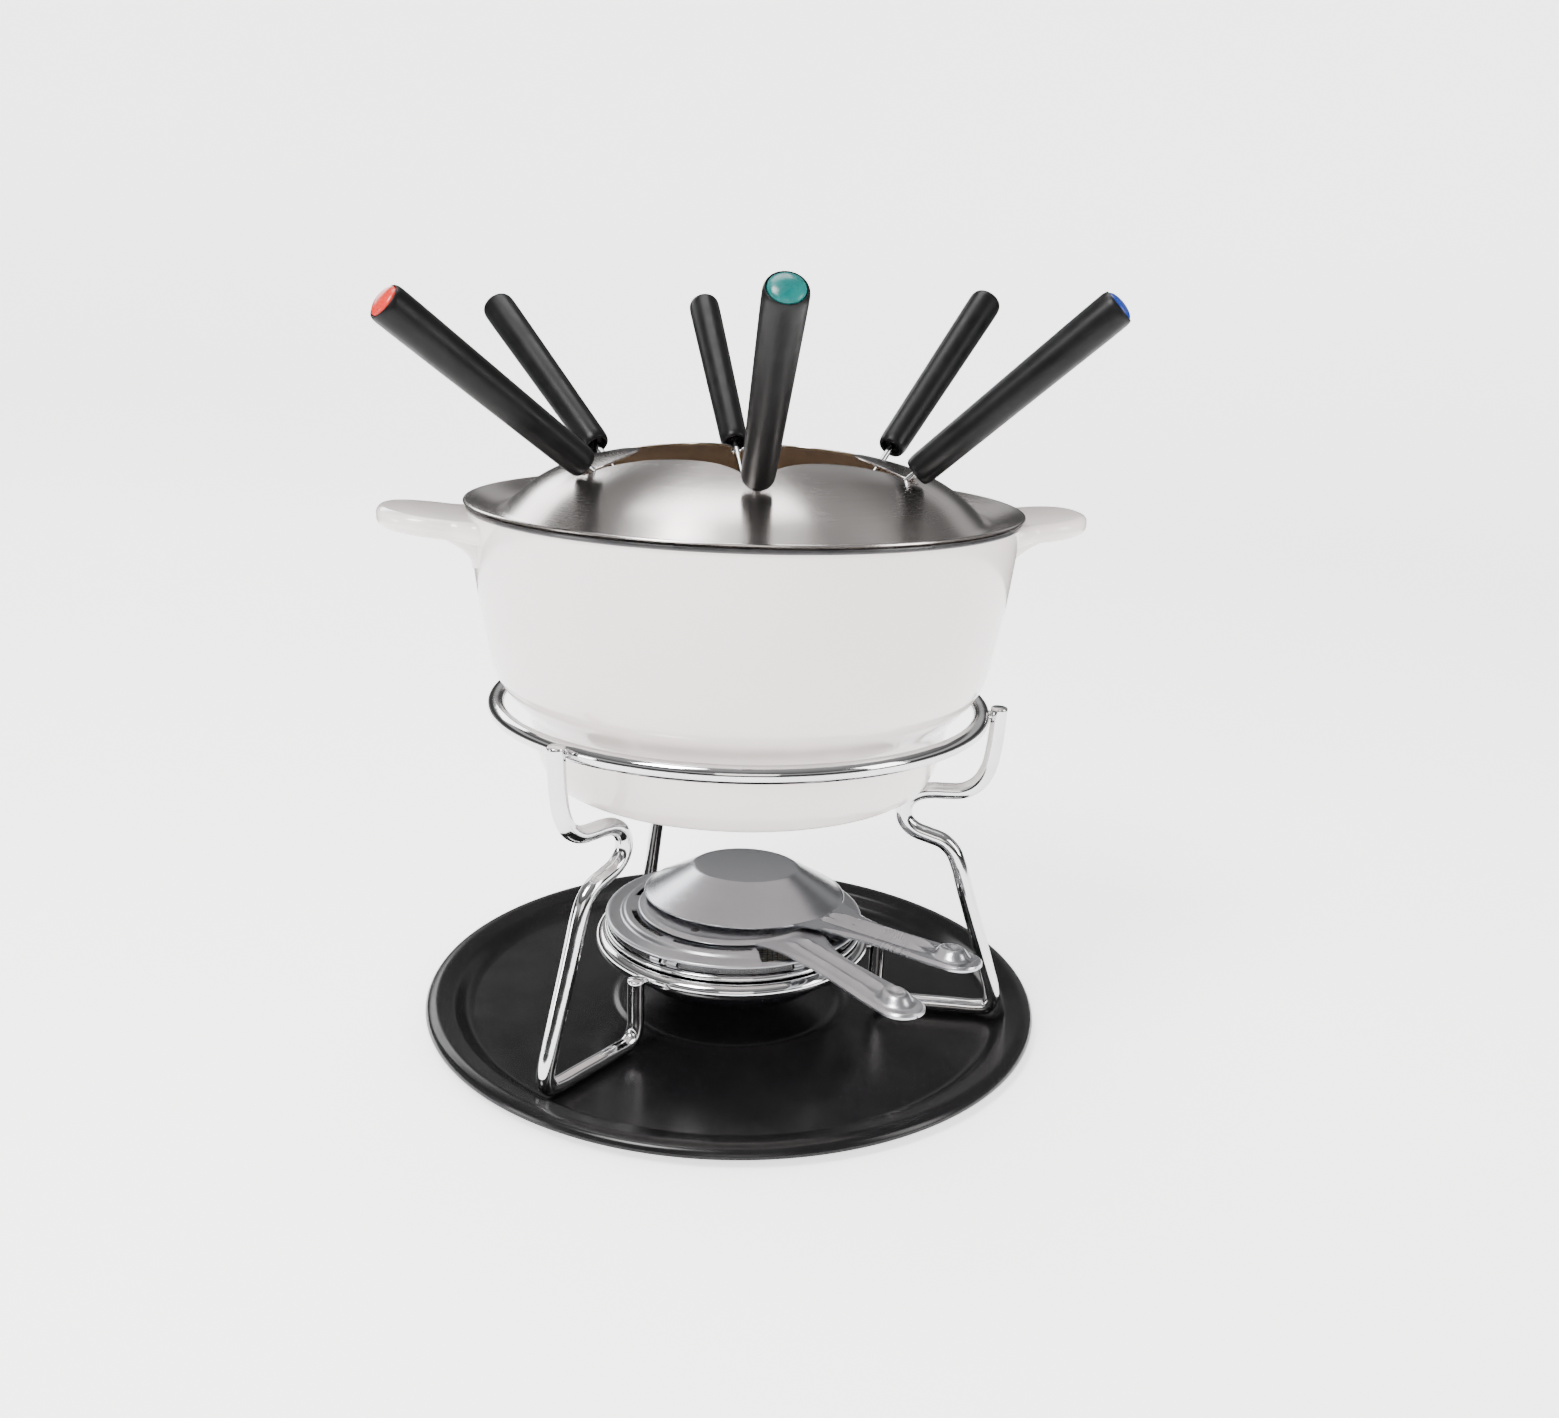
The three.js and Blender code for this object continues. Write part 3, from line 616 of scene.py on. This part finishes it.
# cover plate with its slots and window, as one pressed sheet on a polar grid
def polar_sheet(profile, angles, hole, thick):
    """profile (r, z) outward; hole(r_mid, a_mid) removes a cell. Closed thin sheet."""
    na, nr = len(angles), len(profile)
    N = na * nr
    P = [Vector(p) for p in profile]
    off = []
    for i in range(nr):
        t = (P[min(i + 1, nr - 1)] - P[max(i - 1, 0)]).normalized()
        q = Vector((-t.y, t.x))
        off.append(P[i] - q * thick)
    verts = [(r * math.cos(a * DEG), r * math.sin(a * DEG), z) for r, z in profile for a in angles]
    verts += [(p.x * math.cos(a * DEG), p.x * math.sin(a * DEG), p.y) for p in off for a in angles]
    keep = {}
    for i in range(nr - 1):
        rm = (profile[i][0] + profile[i + 1][0]) / 2
        for k in range(na):
            a0, a1 = angles[k], angles[(k + 1) % na] + (360 if k == na - 1 else 0)
            keep[i, k] = not hole(rm, (a0 + a1) / 2)
    I = lambda i, k: i * na + k % na
    faces = []
    for (i, k), on in keep.items():
        if not on:
            continue
        a, b, c, d = I(i, k), I(i + 1, k), I(i + 1, k + 1), I(i, k + 1)
        faces += [(a, b, c, d), (a + N, d + N, c + N, b + N)]
        for (ii, kk), (p, q) in (((i - 1, k), (a, d)), ((i + 1, k), (b, c)), ((i, (k - 1) % na), (a, b)), ((i, (k + 1) % na), (d, c))):
            if not keep.get((ii, kk), False):
                faces.append((p, q, q + N, p + N))
    return verts, faces


def angle_list(step, extra):
    s = {round(-180 + step * k, 4) for k in range(int(360 / step))}
    for e in extra:
        e = (e + 180) % 360 - 180
        s = {q for q in s if abs(q - e) > step * 0.35}
        s.add(round(e, 4))
    return sorted(s)


SLOTS = [(-124, -79.5)] + [(a, a + 40) for a in (8, 68, 128)] + [(-172, -132)]


def cover_hole(r, a):
    a = (a + 180) % 360 - 180
    if 37.9 < r < 40.0 and any(s < a < e for s, e in SLOTS):
        return True
    return 37.9 < r < 47.4 and -77 < a < -33


prof = [(24.0, 38.1), (24.15, 38.5), (24.6, 38.7), (28, 38.7), (33, 38.7), (37.9, 38.7), (40.0, 38.7), (42.0, 38.7), (42.6, 38.6),
        (43.1, 38.25), (43.5, 37.65), (43.9, 37.37), (44.6, 37.3), (46, 37.3), (47.4, 37.3), (48.4, 37.3), (49.2, 37.25), (49.7, 37.0), (49.9, 36.6), (49.85, 36.2)]
ang = angle_list(2.0, [-124, -79.5, -77, -33, 8, 48, 68, 108, 128, 168, -172, -132])
cv = polar_sheet(prof, ang, cover_hole, 0.7)
SK0, SK1 = -62, -33
skirt_ang = angle_list(2.0, [SK0, SK1, -124, -116])
skp = [(48.75, 36.4), (48.75, 35.6), (48.75, 34.5), (48.75, 33.6), (48.6, 33.4)]
sk = polar_sheet([(r, z) for r, z in reversed(skp)], skirt_ang,
                 lambda r, a: False, 0.7)
# the skirt's lower part is open in front of the window
skv, skf = [], []
na = len(skirt_ang)
zs = [36.4, 35.6, 34.5, 33.5]
for rr in (48.75, 47.95):
    for z in zs:
        for a in skirt_ang:
            skv.append((rr * math.cos(a * DEG), rr * math.sin(a * DEG), z))
NN = na * len(zs)


def sk_on(i, k):
    if not 0 <= i < len(zs) - 1:
        return False
    a = (skirt_ang[k % na] + skirt_ang[(k + 1) % na]) / 2 if k % na < na - 1 else 179
    return not (i >= 1 and SK0 < a < SK1)


for i in range(len(zs) - 1):
    for k in range(na):
        if not sk_on(i, k):
            continue
        a, b, c, d = i * na + k, (i + 1) * na + k, (i + 1) * na + (k + 1) % na, i * na + (k + 1) % na
        skf += [(a, b, c, d), (a + NN, d + NN, c + NN, b + NN)]
        for (ii, kk), (p, q) in (((i - 1, k), (a, d)), ((i + 1, k), (b, c)), ((i, k - 1), (a, b)), ((i, k + 1), (d, c))):
            if not sk_on(ii, kk):
                skf.append((p, q, q + NN, p + NN))
build("cover_plate", cv[0], cv[1], M_SHEET, "cover", "stainless_sheet", ("burner_cover",), sharp=48)
build("cover_skirt", skv, skf, M_SKIRT, "cover", "stainless_sheet", sharp=48)
# spring tabs that clip the skirt inside the trim
tabs = []
for a0, a1 in ((-127, -122.5), (-118.5, -114), (-63, -58), (20, 25), (95, 100), (165, 170)):
    def g(u, w, a0=a0, a1=a1):
        a = (a0 + (a1 - a0) * u) * DEG
        r = 49.05 + 0.85 * math.sin(math.pi * min(1, w * 1.15))
        return (r * math.cos(a), r * math.sin(a), 36.2 - 2.7 * w)
    tabs.append(skin_data(g, [k / 6 for k in range(7)], [k / 8 for k in range(9)], 0.35))
v, f = join(*tabs)
build("cover_clips", v, f, M_SHEET, "cover", "stainless_sheet", sharp=48)


# ---- pressed handles (regulator and snuffer cap)
def pressed_handle(x0, root_half, neck_x, neck_half, end_half, reach, z0, rib=1.6, drop=1.6):
    def half(x):
        if x <= neck_x:
            t = max(0.0, (x - x0) / (neck_x - x0))
            return root_half + (neck_half - root_half) * math.sqrt(smoothstep(0, 1, t))
        h = neck_half + (end_half - neck_half) * smoothstep(neck_x, reach - 16, x)
        e = 9.5
        if x > reach - e:
            q = min(1, (x - (reach - e)) / e)
            h *= math.sqrt(max(0, 1 - q ** 2.3))
        return h

    def surf(x, v):
        h = max(half(x), 0.02)
        y = v * h
        z = z0
        w = smoothstep(38, 45, x) * (1 - smoothstep(80, 90, x))
        for s in (-1, 1):
            d = (y - s * 3.1) / 0.9
            z += rib * w * math.exp(-d * d)
        z -= 0.55 * w * math.exp(-(y / 1.4) ** 2)
        # thumb dome with a dished top
        d = math.hypot((x - 95.6) / 1.18, y)
        z += 3.5 * (1 - smoothstep(3.3, 6.7, d))
        z -= 0.9 * (1 - smoothstep(0, 3.4, d))
        # the edge rolls down all round
        edge = h * (1 - abs(v))
        z -= drop * (1 - smoothstep(0, 1.5, edge)) * smoothstep(44, 56, x) * 0.6
        return (x, y, z)

    xs = [x0 + (reach - x0) * k / 150 for k in range(147)]
    xs += [reach - 1.5, reach - 0.8, reach - 0.35, reach - 0.1, reach - 0.005]
    xs = sorted(set(round(x, 4) for x in xs))
    vs = [math.sin(math.pi / 2 * (-1 + 2 * k / 44)) for k in range(45)]
    return skin_data(surf, xs, vs, 0.75)


REG_AZ, CAP_AZ = -54.5, -38.5
rp = [(21.0, 39.5), (21.1, 39.85), (21.5, 40.0), (24, 40.0), (27.6, 40.0), (31.4, 40.0), (33.6, 40.0), (34.1, 40.16), (34.8, 40.16), (35.3, 40.0), (36.6, 40.0), (37.15, 39.9), (37.4, 39.6)]
reg_holes = [REG_AZ + a for a in (-64.5, -9.5, 45.5, 100.5, 155.5, 210.5)]
ra = angle_list(2.0, [])


def reg_hole(r, a):
    return False


plate_v, plate_f = polar_sheet(rp, ra, reg_hole, 0.9)
h1 = turned(pressed_handle(31.0, 15.8, 62, 7.6, 8.5, 107, 39.97, rib=1.1), REG_AZ)
o_reg = build("regulator_plate", *join((plate_v, plate_f), h1), M_SHEET, "regulator", "stainless_sheet", ("regulator",), sharp=48)
# the draught holes are not cut: black discs set flush on the plate stand in for them, their black being painted shade
# of the open holes
hole_shade_discs = []
for a in reg_holes:
    cx, cy = 29.5 * math.cos(a * DEG), 29.5 * math.sin(a * DEG)
    ev, ef = lathe_data(rounded([(0, 39.2), (0.0, 40.03), (1.6, 40.03, 0.1), (1.75, 40.0, 0.1), (1.75, 39.2)], n=2), 28)
    hole_shade_discs.append(([(x + cx, y + cy, z) for x, y, z in ev], ef))
v, f = join(*hole_shade_discs)
build("regulator_hole_shade_discs", v, f, M_RIM_AND_HOLE_SHADE, "regulator", "black_enamel", sharp=40)
# stop tab in the window
sv, sf = slab_data(rounded([(40.3, -2.2, 0.5), (41.5, -2.2, 0.5), (41.5, 2.2, 0.5), (40.3, 2.2, 0.5)], n=3), lambda x, y: 39.6, lambda x, y: 37.0, 0.2, 2)
build("regulator_stop", *turned((sv, sf), REG_AZ), M_SHEET, "regulator", "stainless_sheet", sharp=40)

off = math.hypot(4.0, 12.15)
CAP_M = Matrix.Translation((4.0, 12.15, 39.72)) @ Matrix.Rotation(0.047, 4, Vector((-12.15 / off, 4.0 / off, 0))) @ Matrix.Rotation(CAP_AZ * DEG, 4, "Z")
cp = rounded([(0, 11.4), (20.6, 11.4, 1.3), (38.2, 1.35, 1.6), (39.5, 0.85, 0.5), (39.9, 0.5, 0.3), (39.8, 0.02, 0.2), (39.0, 0.02, 0.3),
              (37.9, 0.55, 1.2), (20.3, 10.6, 1.3), (0, 10.6)], n=6)
cap_body = lathe_data(cp, 176)
h2 = pressed_handle(35.6, 16.4, 66, 8.4, 9.2, 107, 0.90)
build("snuffer_shell", *join(cap_body, h2), M_CAPSHEET, "snuffer", "stainless_sheet", ("snuffer_cap",), sharp=48, transform=CAP_M)

# ------------------------------------------------------------------ pot
outer = crom([(71.5, 97.0), (73.6, 100.5), (75.6, 106.0), (77.0, 113.0), (78.0, 119.0), (79.4, 122.4), (82.5, 125.8), (86.0, 129.6),
              (88.6, 133.5), (90.3, 137.0), (91.5, 141.0), (93.0, 149.0), (94.4, 157.0), (95.6, 165.0), (96.6, 173.0), (97.5, 181.0), (98.3, 189.0), (98.7, 194.0)], 4)
outer = [(p.x, p.y) for p in outer]
inner = crom([(95.6, 193.6), (94.6, 184.0), (93.3, 173.0), (92.3, 165.0), (91.1, 157.0), (89.7, 149.0), (88.2, 141.4), (85.4, 135.0), (80.6, 128.6),
              (76.4, 123.0), (74.4, 117.0), (73.2, 111.0), (71.8, 105.4), (69.0, 101.0), (64.5, 99.1)], 4)
inner = [(p.x, p.y) for p in inner]
pot = [(0, 96.3)] + rounded([(64.0, 96.3), (66.0, 95.6, 0.6), (69.3, 95.6, 1.2), (71.5, 97.0)], closed=False, n=5) + outer[1:] \
    + [(98.62, 194.7), (98.2, 195.15), (97.2, 195.2), (96.2, 194.8)] + inner + [(62.5, 98.85), (0, 98.8)]
v, f = lathe_data(pot, 224)
build("pot_shell", v, f, M_ENAMEL, "pot", "white_enamel", ("pot",), sharp=0)

# bare metal line at the lip, under the lid's brim
lip = rounded([(98.55, 193.9, 0.2), (99.15, 194.05, 0.3), (99.2, 195.45, 0.4), (97.6, 195.75, 0.3), (97.4, 195.2, 0.1)], n=3)
v, f = lathe_data(lip, 224)
build("pot_lip_line", v, f, M_RIM_AND_HOLE_SHADE, "pot", "black_enamel", sharp=60)

# ears
SL = math.tan(6.5 * DEG)
for side, az in (("right", 10.3), ("left", 190.3)):
    half = []
    e, tip, hw = 25.0, 129.0, 23.5
    for x, y in ((91.0, 29.0), (96.5, 27.4), (99.5, 25.6), (102.0, 24.2), (tip - e, hw)):
        half.append((x, y))
    half = [(p.x, p.y) for p in crom(half, 4)]
    n = 22
    for k in range(1, n + 1):
        a = k / n * math.pi / 2
        half.append((tip - e + e * math.sin(a) ** 0.82, hw * math.cos(a) ** 0.82))
    out = [(x, -y) for x, y in half] + [(x, y) for x, y in reversed(half[:-1])]
    top = lambda x, y: 180.5 + x * SL + 0.6 * math.exp(-((x - 96) / 3.5) ** 2)
    bot = lambda x, y: 180.5 + x * SL - 7.0
    ear = slab_data(out, top, bot, 2.9, 6)
    # fillet under the root, reaching back along the wall
    rv, rf, rows = [], [], []
    for k in range(13):
        s = k / 12
        X = 97.0 + 10.5 * (1 - s) ** 2.4
        z = 180.5 + X * SL - 6.4 - 9.5 * s
        hwk = 22.6 - 3.6 * s
        ring = rounded([(90.0, -hwk), (X, -hwk, 3.5), (X, hwk, 3.5), (90.0, hwk)], n=5)
        rows.append(list(range(len(rv), len(rv) + len(ring))))
        rv += [(x, y, z + (0.0 if x > 91 else 0)) for x, y in ring]
    rf += [tuple(rows[0]), tuple(reversed(rows[-1]))]
    for A, B in zip(rows, rows[1:]):
        for k in range(len(A)):
            j = (k + 1) % len(A)
            rf.append((A[k], B[k], B[j], A[j]))
    root = (rv, rf)
    build("ear_" + side, *turned(ear, az), M_ENAMEL, "pot", "white_enamel", sharp=0)
    build("ear_root_" + side, *turned(root, az), M_ENAMEL, "pot", "white_enamel", sharp=50)

# ------------------------------------------------------------------ splash-guard lid
FORKS = [
    ("front", -87.06, -84.80, 47.56, 2.6, (0.001, 0.085, 0.080)),
    ("front_right", -27.28, -15.06, 47.45, 2.4, (0.006, 0.022, 0.17)),
    ("rear_right", 33.75, 49.26, 47.83, 5.9, (0.40, 0.20, 0.006)),
    ("rear", 94.34, 104.12, 50.33, 2.5, (0.78, 0.76, 0.72)),
    ("rear_left", 152.35, 132.21, 53.56, 2.8, (0.42, 0.075, 0.010)),
    ("front_left", 213.01, 215.87, 53.49, 2.4, (0.40, 0.015, 0.008)),
]
LID_CTRL = [(34.0, 214.9), (42.0, 214.0), (50.0, 212.7), (60.0, 210.25), (65.8, 208.15), (71.3, 205.5), (75.6, 202.9), (79.0, 200.4), (82.0, 197.8), (85.0, 195.1),
            (86.6, 193.75), (88.2, 193.1), (89.8, 193.25), (92.0, 194.1), (95.4, 195.75), (98.0, 196.95), (99.2, 197.25), (99.8, 197.0), (100.0, 196.5)]
LID_P = [(p.x, p.y) for p in crom(LID_CTRL, 4)]
LZ = lambda r: interp(LID_P, r)


def open_r(az):
    d = ((az - 3.2 + 30) % 60) - 30
    # petal edge u = 39 + v*v/63 along its axis, in polar form
    c, s = math.cos(d * DEG), math.sin(d * DEG)
    if abs(s) < 1e-6:
        r = 39.0
    else:
        A, B, C = s * s / 63.0, -c, 39.0
        r = (-B - math.sqrt(max(B * B - 4 * A * C, 0))) / (2 * A)
    for _, fa, *_r in FORKS:
        q = ((az - fa + 180) % 360) - 180
        w = 63.0 * abs(q) * DEG
        if w < 2.0:
            r = max(r, 62.9 + math.sqrt(max(0.0, 2.0 ** 2 - w * w)))
    return min(r, 66.0)


az_list = [k * 1.25 for k in range(288)]
for _, fa, *_r in FORKS:
    az_list = [a for a in az_list if abs(((a - fa + 180) % 360) - 180) > 2.6]
    az_list += [(fa + q) % 360 for q in (-2.5, -2.2, -1.95, -1.83, -1.79, -1.7, -1.5, -1.2, -0.8, -0.4, 0, 0.4, 0.8, 1.2, 1.5, 1.7, 1.79, 1.83, 1.95, 2.2, 2.5)]
for k in range(6):
    az_list.append((3.2 + 30 + 60 * k) % 360)
az_list = sorted(set(round(a, 3) for a in az_list))
lv, lf, N1 = [], [], 0
fixed = [p for p in LID_P if p[0] > 84.9]
cols = []
T = 0.8
for a in az_list:
    ro = open_r(a)
    loop = []
    rs = [ro + (84.5 - ro) * k / 22 for k in range(23)]
    topc = [(r, LZ(r)) for r in rs] + fixed
    P = [Vector(p) for p in topc]
    under = []
    for i in range(len(P)):
        t = (P[min(i + 1, len(P) - 1)] - P[max(i - 1, 0)]).normalized()
        q = Vector((-t.y, t.x))
        under.append(P[i] - q * T)
    under[-1] = Vector((99.35, 196.35))
    under[-2] = Vector((99.1, 196.4))
    under[-3] = Vector((98.7, 196.35))
    # rounded edge at the opening
    e0 = P[0] + Vector((-0.25, -0.14))
    e1 = P[0] + Vector((-0.33, -0.40))
    e2 = P[0] + Vector((-0.25, -0.66))
    loop = [tuple(p) for p in P] + [tuple(p) for p in reversed(under)] + [tuple(e2), tuple(e1), tuple(e0)]
    cols.append([len(lv) + k for k in range(len(loop))])
    ca, sa = math.cos(a * DEG), math.sin(a * DEG)
    lv += [(r * ca, r * sa, z) for r, z in loop]
for i in range(len(cols)):
    A, B = cols[i], cols[(i + 1) % len(cols)]
    for k in range(len(A)):
        j = (k + 1) % len(A)
        lf.append((A[k], A[j], B[j], B[k]))
lid = build("lid_dome", lv, lf, M_LID, "lid", "stainless_lid", ("splash_guard_lid",), sharp=60)
# the underside gets a straw-brown base colour that is a painted warm reflection, not a colour of the steel
lid.data.materials.append(M_LID_UNDER_PAINTED_REFLECTION)
for poly in lid.data.polygons:
    if poly.normal.z < -0.15 and poly.center.xy.length < 0.0965:
        poly.material_index = 1

# ------------------------------------------------------------------ forks
NR, NZ = 62.6, 210.4
for name, az, da, tilt, back, col in FORKS:
    d = Vector((math.sin(tilt * DEG) * math.cos(da * DEG), math.sin(tilt * DEG) * math.sin(da * DEG), math.cos(tilt * DEG)))
    p = Vector((NR * math.cos(az * DEG), NR * math.sin(az * DEG), NZ)) + d * back
    Mx = Matrix.Translation(p) @ Matrix.Rotation(da * DEG, 4, "Z") @ Matrix.Rotation(tilt * DEG, 4, "Y")
    body = "fork_" + name
    # tapered grip: soft shoulder at the stem end, slight swell, rolled lip round the cap
    hp = rounded([(1.55, 38.0), (1.55, 2.4), (3.5, 2.4, 0.3), (3.75, 0.5, 0.4), (4.3, 0.0, 0.5), (5.0, 0.35, 0.9), (5.5, 2.2, 1.6),
                  (5.78, 24.0, 8.0), (6.12, 50.0, 8.0), (6.45, 76.0, 3.0), (6.45, 82.6, 1.5), (6.0, 83.9, 0.6), (5.65, 84.0, 0.25),
                  (5.55, 83.4, 0.2), (5.5, 81.7), (0, 81.7), (0, 38.0)], n=6)
    v, f = lathe_data(hp, 56)
    build(body + "_grip", v, f, M_PLASTIC, body, "black_plastic", (body + "_handle",), sharp=50, transform=Mx)
    dome = [(0, 82.0), (5.3, 82.0), (5.35, 83.6)] + [(5.35 * math.cos(q), 83.7 + 1.9 * math.sin(q)) for q in [math.pi / 2 * k / 9 for k in range(9)]] + [(0, 85.6)]
    v, f = lathe_data(dome, 56)
    build(body + "_end", v, f, cap_plastic("cap_" + name, col), body, "cap_" + name, (body + "_cap",), sharp=60, transform=Mx)
    # stem: round wire drawn flat into two barbed tines
    sv_, sf_ = tube_data([(0, 0, z) for z in [39.4, 20, 2, -20, -45, -70, -95, -108, -113.0]], 1.25, 20, 0.2)
    w = 3.3
    outl = [(-1.15, 0), (-1.5, -4), (-w, -9.5), (-w, -31.5), (-w - 0.15, -32.8), (-w + 0.35, -36), (-w + 1.45, -31), (-w + 1.5, -14), (-0.9, -10.4), (0, -9.8),
            (0.9, -10.4), (w - 1.5, -14), (w - 1.45, -31), (w - 0.35, -36), (w + 0.15, -32.8), (w, -31.5), (w, -9.5), (1.5, -4), (1.15, 0)]
    outl = rounded([(x, y, 0.9 if abs(y) < 30 else 0.25) for x, y in outl], n=4)
    hv, hf = slab_data(outl, lambda x, y: 0.62, lambda x, y: -0.62, 0.3, 3)
    hv = [(x, -z, y - 110.0) for x, y, z in hv]
    build(body + "_shaft", *join((sv_, sf_), (hv, hf)), M_STEEL, body, "fork_steel", (body + "_stem",), sharp=45, transform=Mx)

# ------------------------------------------------------------------ stage and light
def stage_disc(name, prof):
    verts, rows, seg = [], [], 96
    for r, z in prof:
        if r == 0:
            rows.append([len(verts)])
            verts.append((0, 0, -0.0002))
            continue
        rows.append(list(range(len(verts), len(verts) + seg)))
        for k in range(seg):
            a = 2 * math.pi * k / seg
            verts.append((r * math.cos(a), r * math.sin(a), z - 0.0002))
    faces = []
    for A, B in zip(rows, rows[1:]):
        for k in range(seg):
            j = (k + 1) % seg
            faces.append((A[0], B[k], B[j]) if len(A) == 1 else (A[k], B[k], B[j], A[j]))
    me = bpy.data.meshes.new(name)
    me.from_pydata(verts, [], faces)
    for p in me.polygons:
        p.use_smooth = True
    o = bpy.data.objects.new(name, me)
    bpy.context.scene.collection.objects.link(o)
    return o


floor = stage_disc("floor", [(0, 0), (0.3, 0), (0.62, 0), (0.8, 0)])
sweep = stage_disc("sweep", [(0.8, 0), (1.5, 0.0), (1.75, 0.03), (1.95, 0.12), (2.1, 0.27), (2.2, 0.5), (2.25, 0.8), (2.27, 1.3)])
sweep.visible_glossy = False
nf = Nodes("floor_paper")
nf.set(metal=0.0)
nf.link(nf.ramp(nf.noise(3, 3), [(0.3, (0.90, 0.90, 0.90)), (0.7, (0.92, 0.92, 0.92))]), nf.b.inputs["Base Color"])
nf.b.inputs["Emission Color"].default_value = (1, 1, 1, 1)
nf.b.inputs["Emission Strength"].default_value = 1.5
nf.b.inputs["Roughness"].default_value = 0.9
nf.b.inputs["Specular IOR Level"].default_value = 0.1
floor.data.materials.append(nf.m)
sweep.data.materials.append(nf.m)

world = bpy.data.worlds.new("studio")
bpy.context.scene.world = world
world.use_nodes = True
wt = world.node_tree
wt.nodes.clear()
wo = wt.nodes.new("ShaderNodeOutputWorld")
bg = wt.nodes.new("ShaderNodeBackground")
bg.inputs["Strength"].default_value = 1.0
wc = wt.nodes.new("ShaderNodeTexCoord")
ws = wt.nodes.new("ShaderNodeSeparateXYZ")
wr = wt.nodes.new("ShaderNodeValToRGB")
wm = wt.nodes.new("ShaderNodeMapRange")
wt.links.new(wc.outputs["Generated"], ws.inputs[0])
wm.inputs["From Min"].default_value, wm.inputs["From Max"].default_value = -1, 1
wt.links.new(ws.outputs[2], wm.inputs["Value"])
wt.links.new(wm.outputs[0], wr.inputs[0])
el = wr.color_ramp.elements
for _ in range(6):
    el.new(0.5)
for e_, (p_, c_) in zip(el, [(0.0, 0.45), (0.485, 0.22), (0.52, 0.05), (0.60, 0.10), (0.64, 0.62), (0.695, 0.62), (0.73, 0.12), (0.95, 0.5)]):
    e_.position = p_
    e_.color = (c_, c_ * 0.99, c_ * 0.985, 1)
wt.links.new(wr.outputs[0], bg.inputs["Color"])
wt.links.new(bg.outputs[0], wo.inputs[0])


def area(name, loc, target, size, energy, color=(1, 1, 1), size_y=None):
    l = bpy.data.lights.new(name, "AREA")
    l.shape = "RECTANGLE"
    l.size, l.size_y = size, size_y or size
    l.energy = energy
    l.color = color
    o = bpy.data.objects.new(name, l)
    bpy.context.scene.collection.objects.link(o)
    o.location = loc
    o.rotation_mode = "QUATERNION"
    o.rotation_quaternion = (Vector(target) - Vector(loc)).to_track_quat("-Z", "Y")
    return o


area("key", (-0.55, -0.62, 1.25), (0, 0, 0.12), 0.42, 32, (1.0, 0.99, 0.98), 0.6)
area("top", (-0.15, 0.35, 1.5), (0, 0, 0.1), 0.9, 14, (1, 1, 1), 0.6)
area("right", (1.2, -0.55, 0.6), (0, 0, 0.14), 0.45, 11, (1, 0.98, 0.96), 0.8)
area("left", (-1.3, -0.5, 0.22), (0, 0, 0.16), 0.35, 5, (1, 0.99, 0.99), 0.4)
area("front", (0.1, -1.5, 0.55), (0, 0, 0.12), 0.7, 3.2, (1.0, 0.93, 0.89), 0.5)
area("back", (-0.9, 1.3, 0.9), (0, 0, 0.1), 0.9, 9, (1, 1, 1), 0.5)
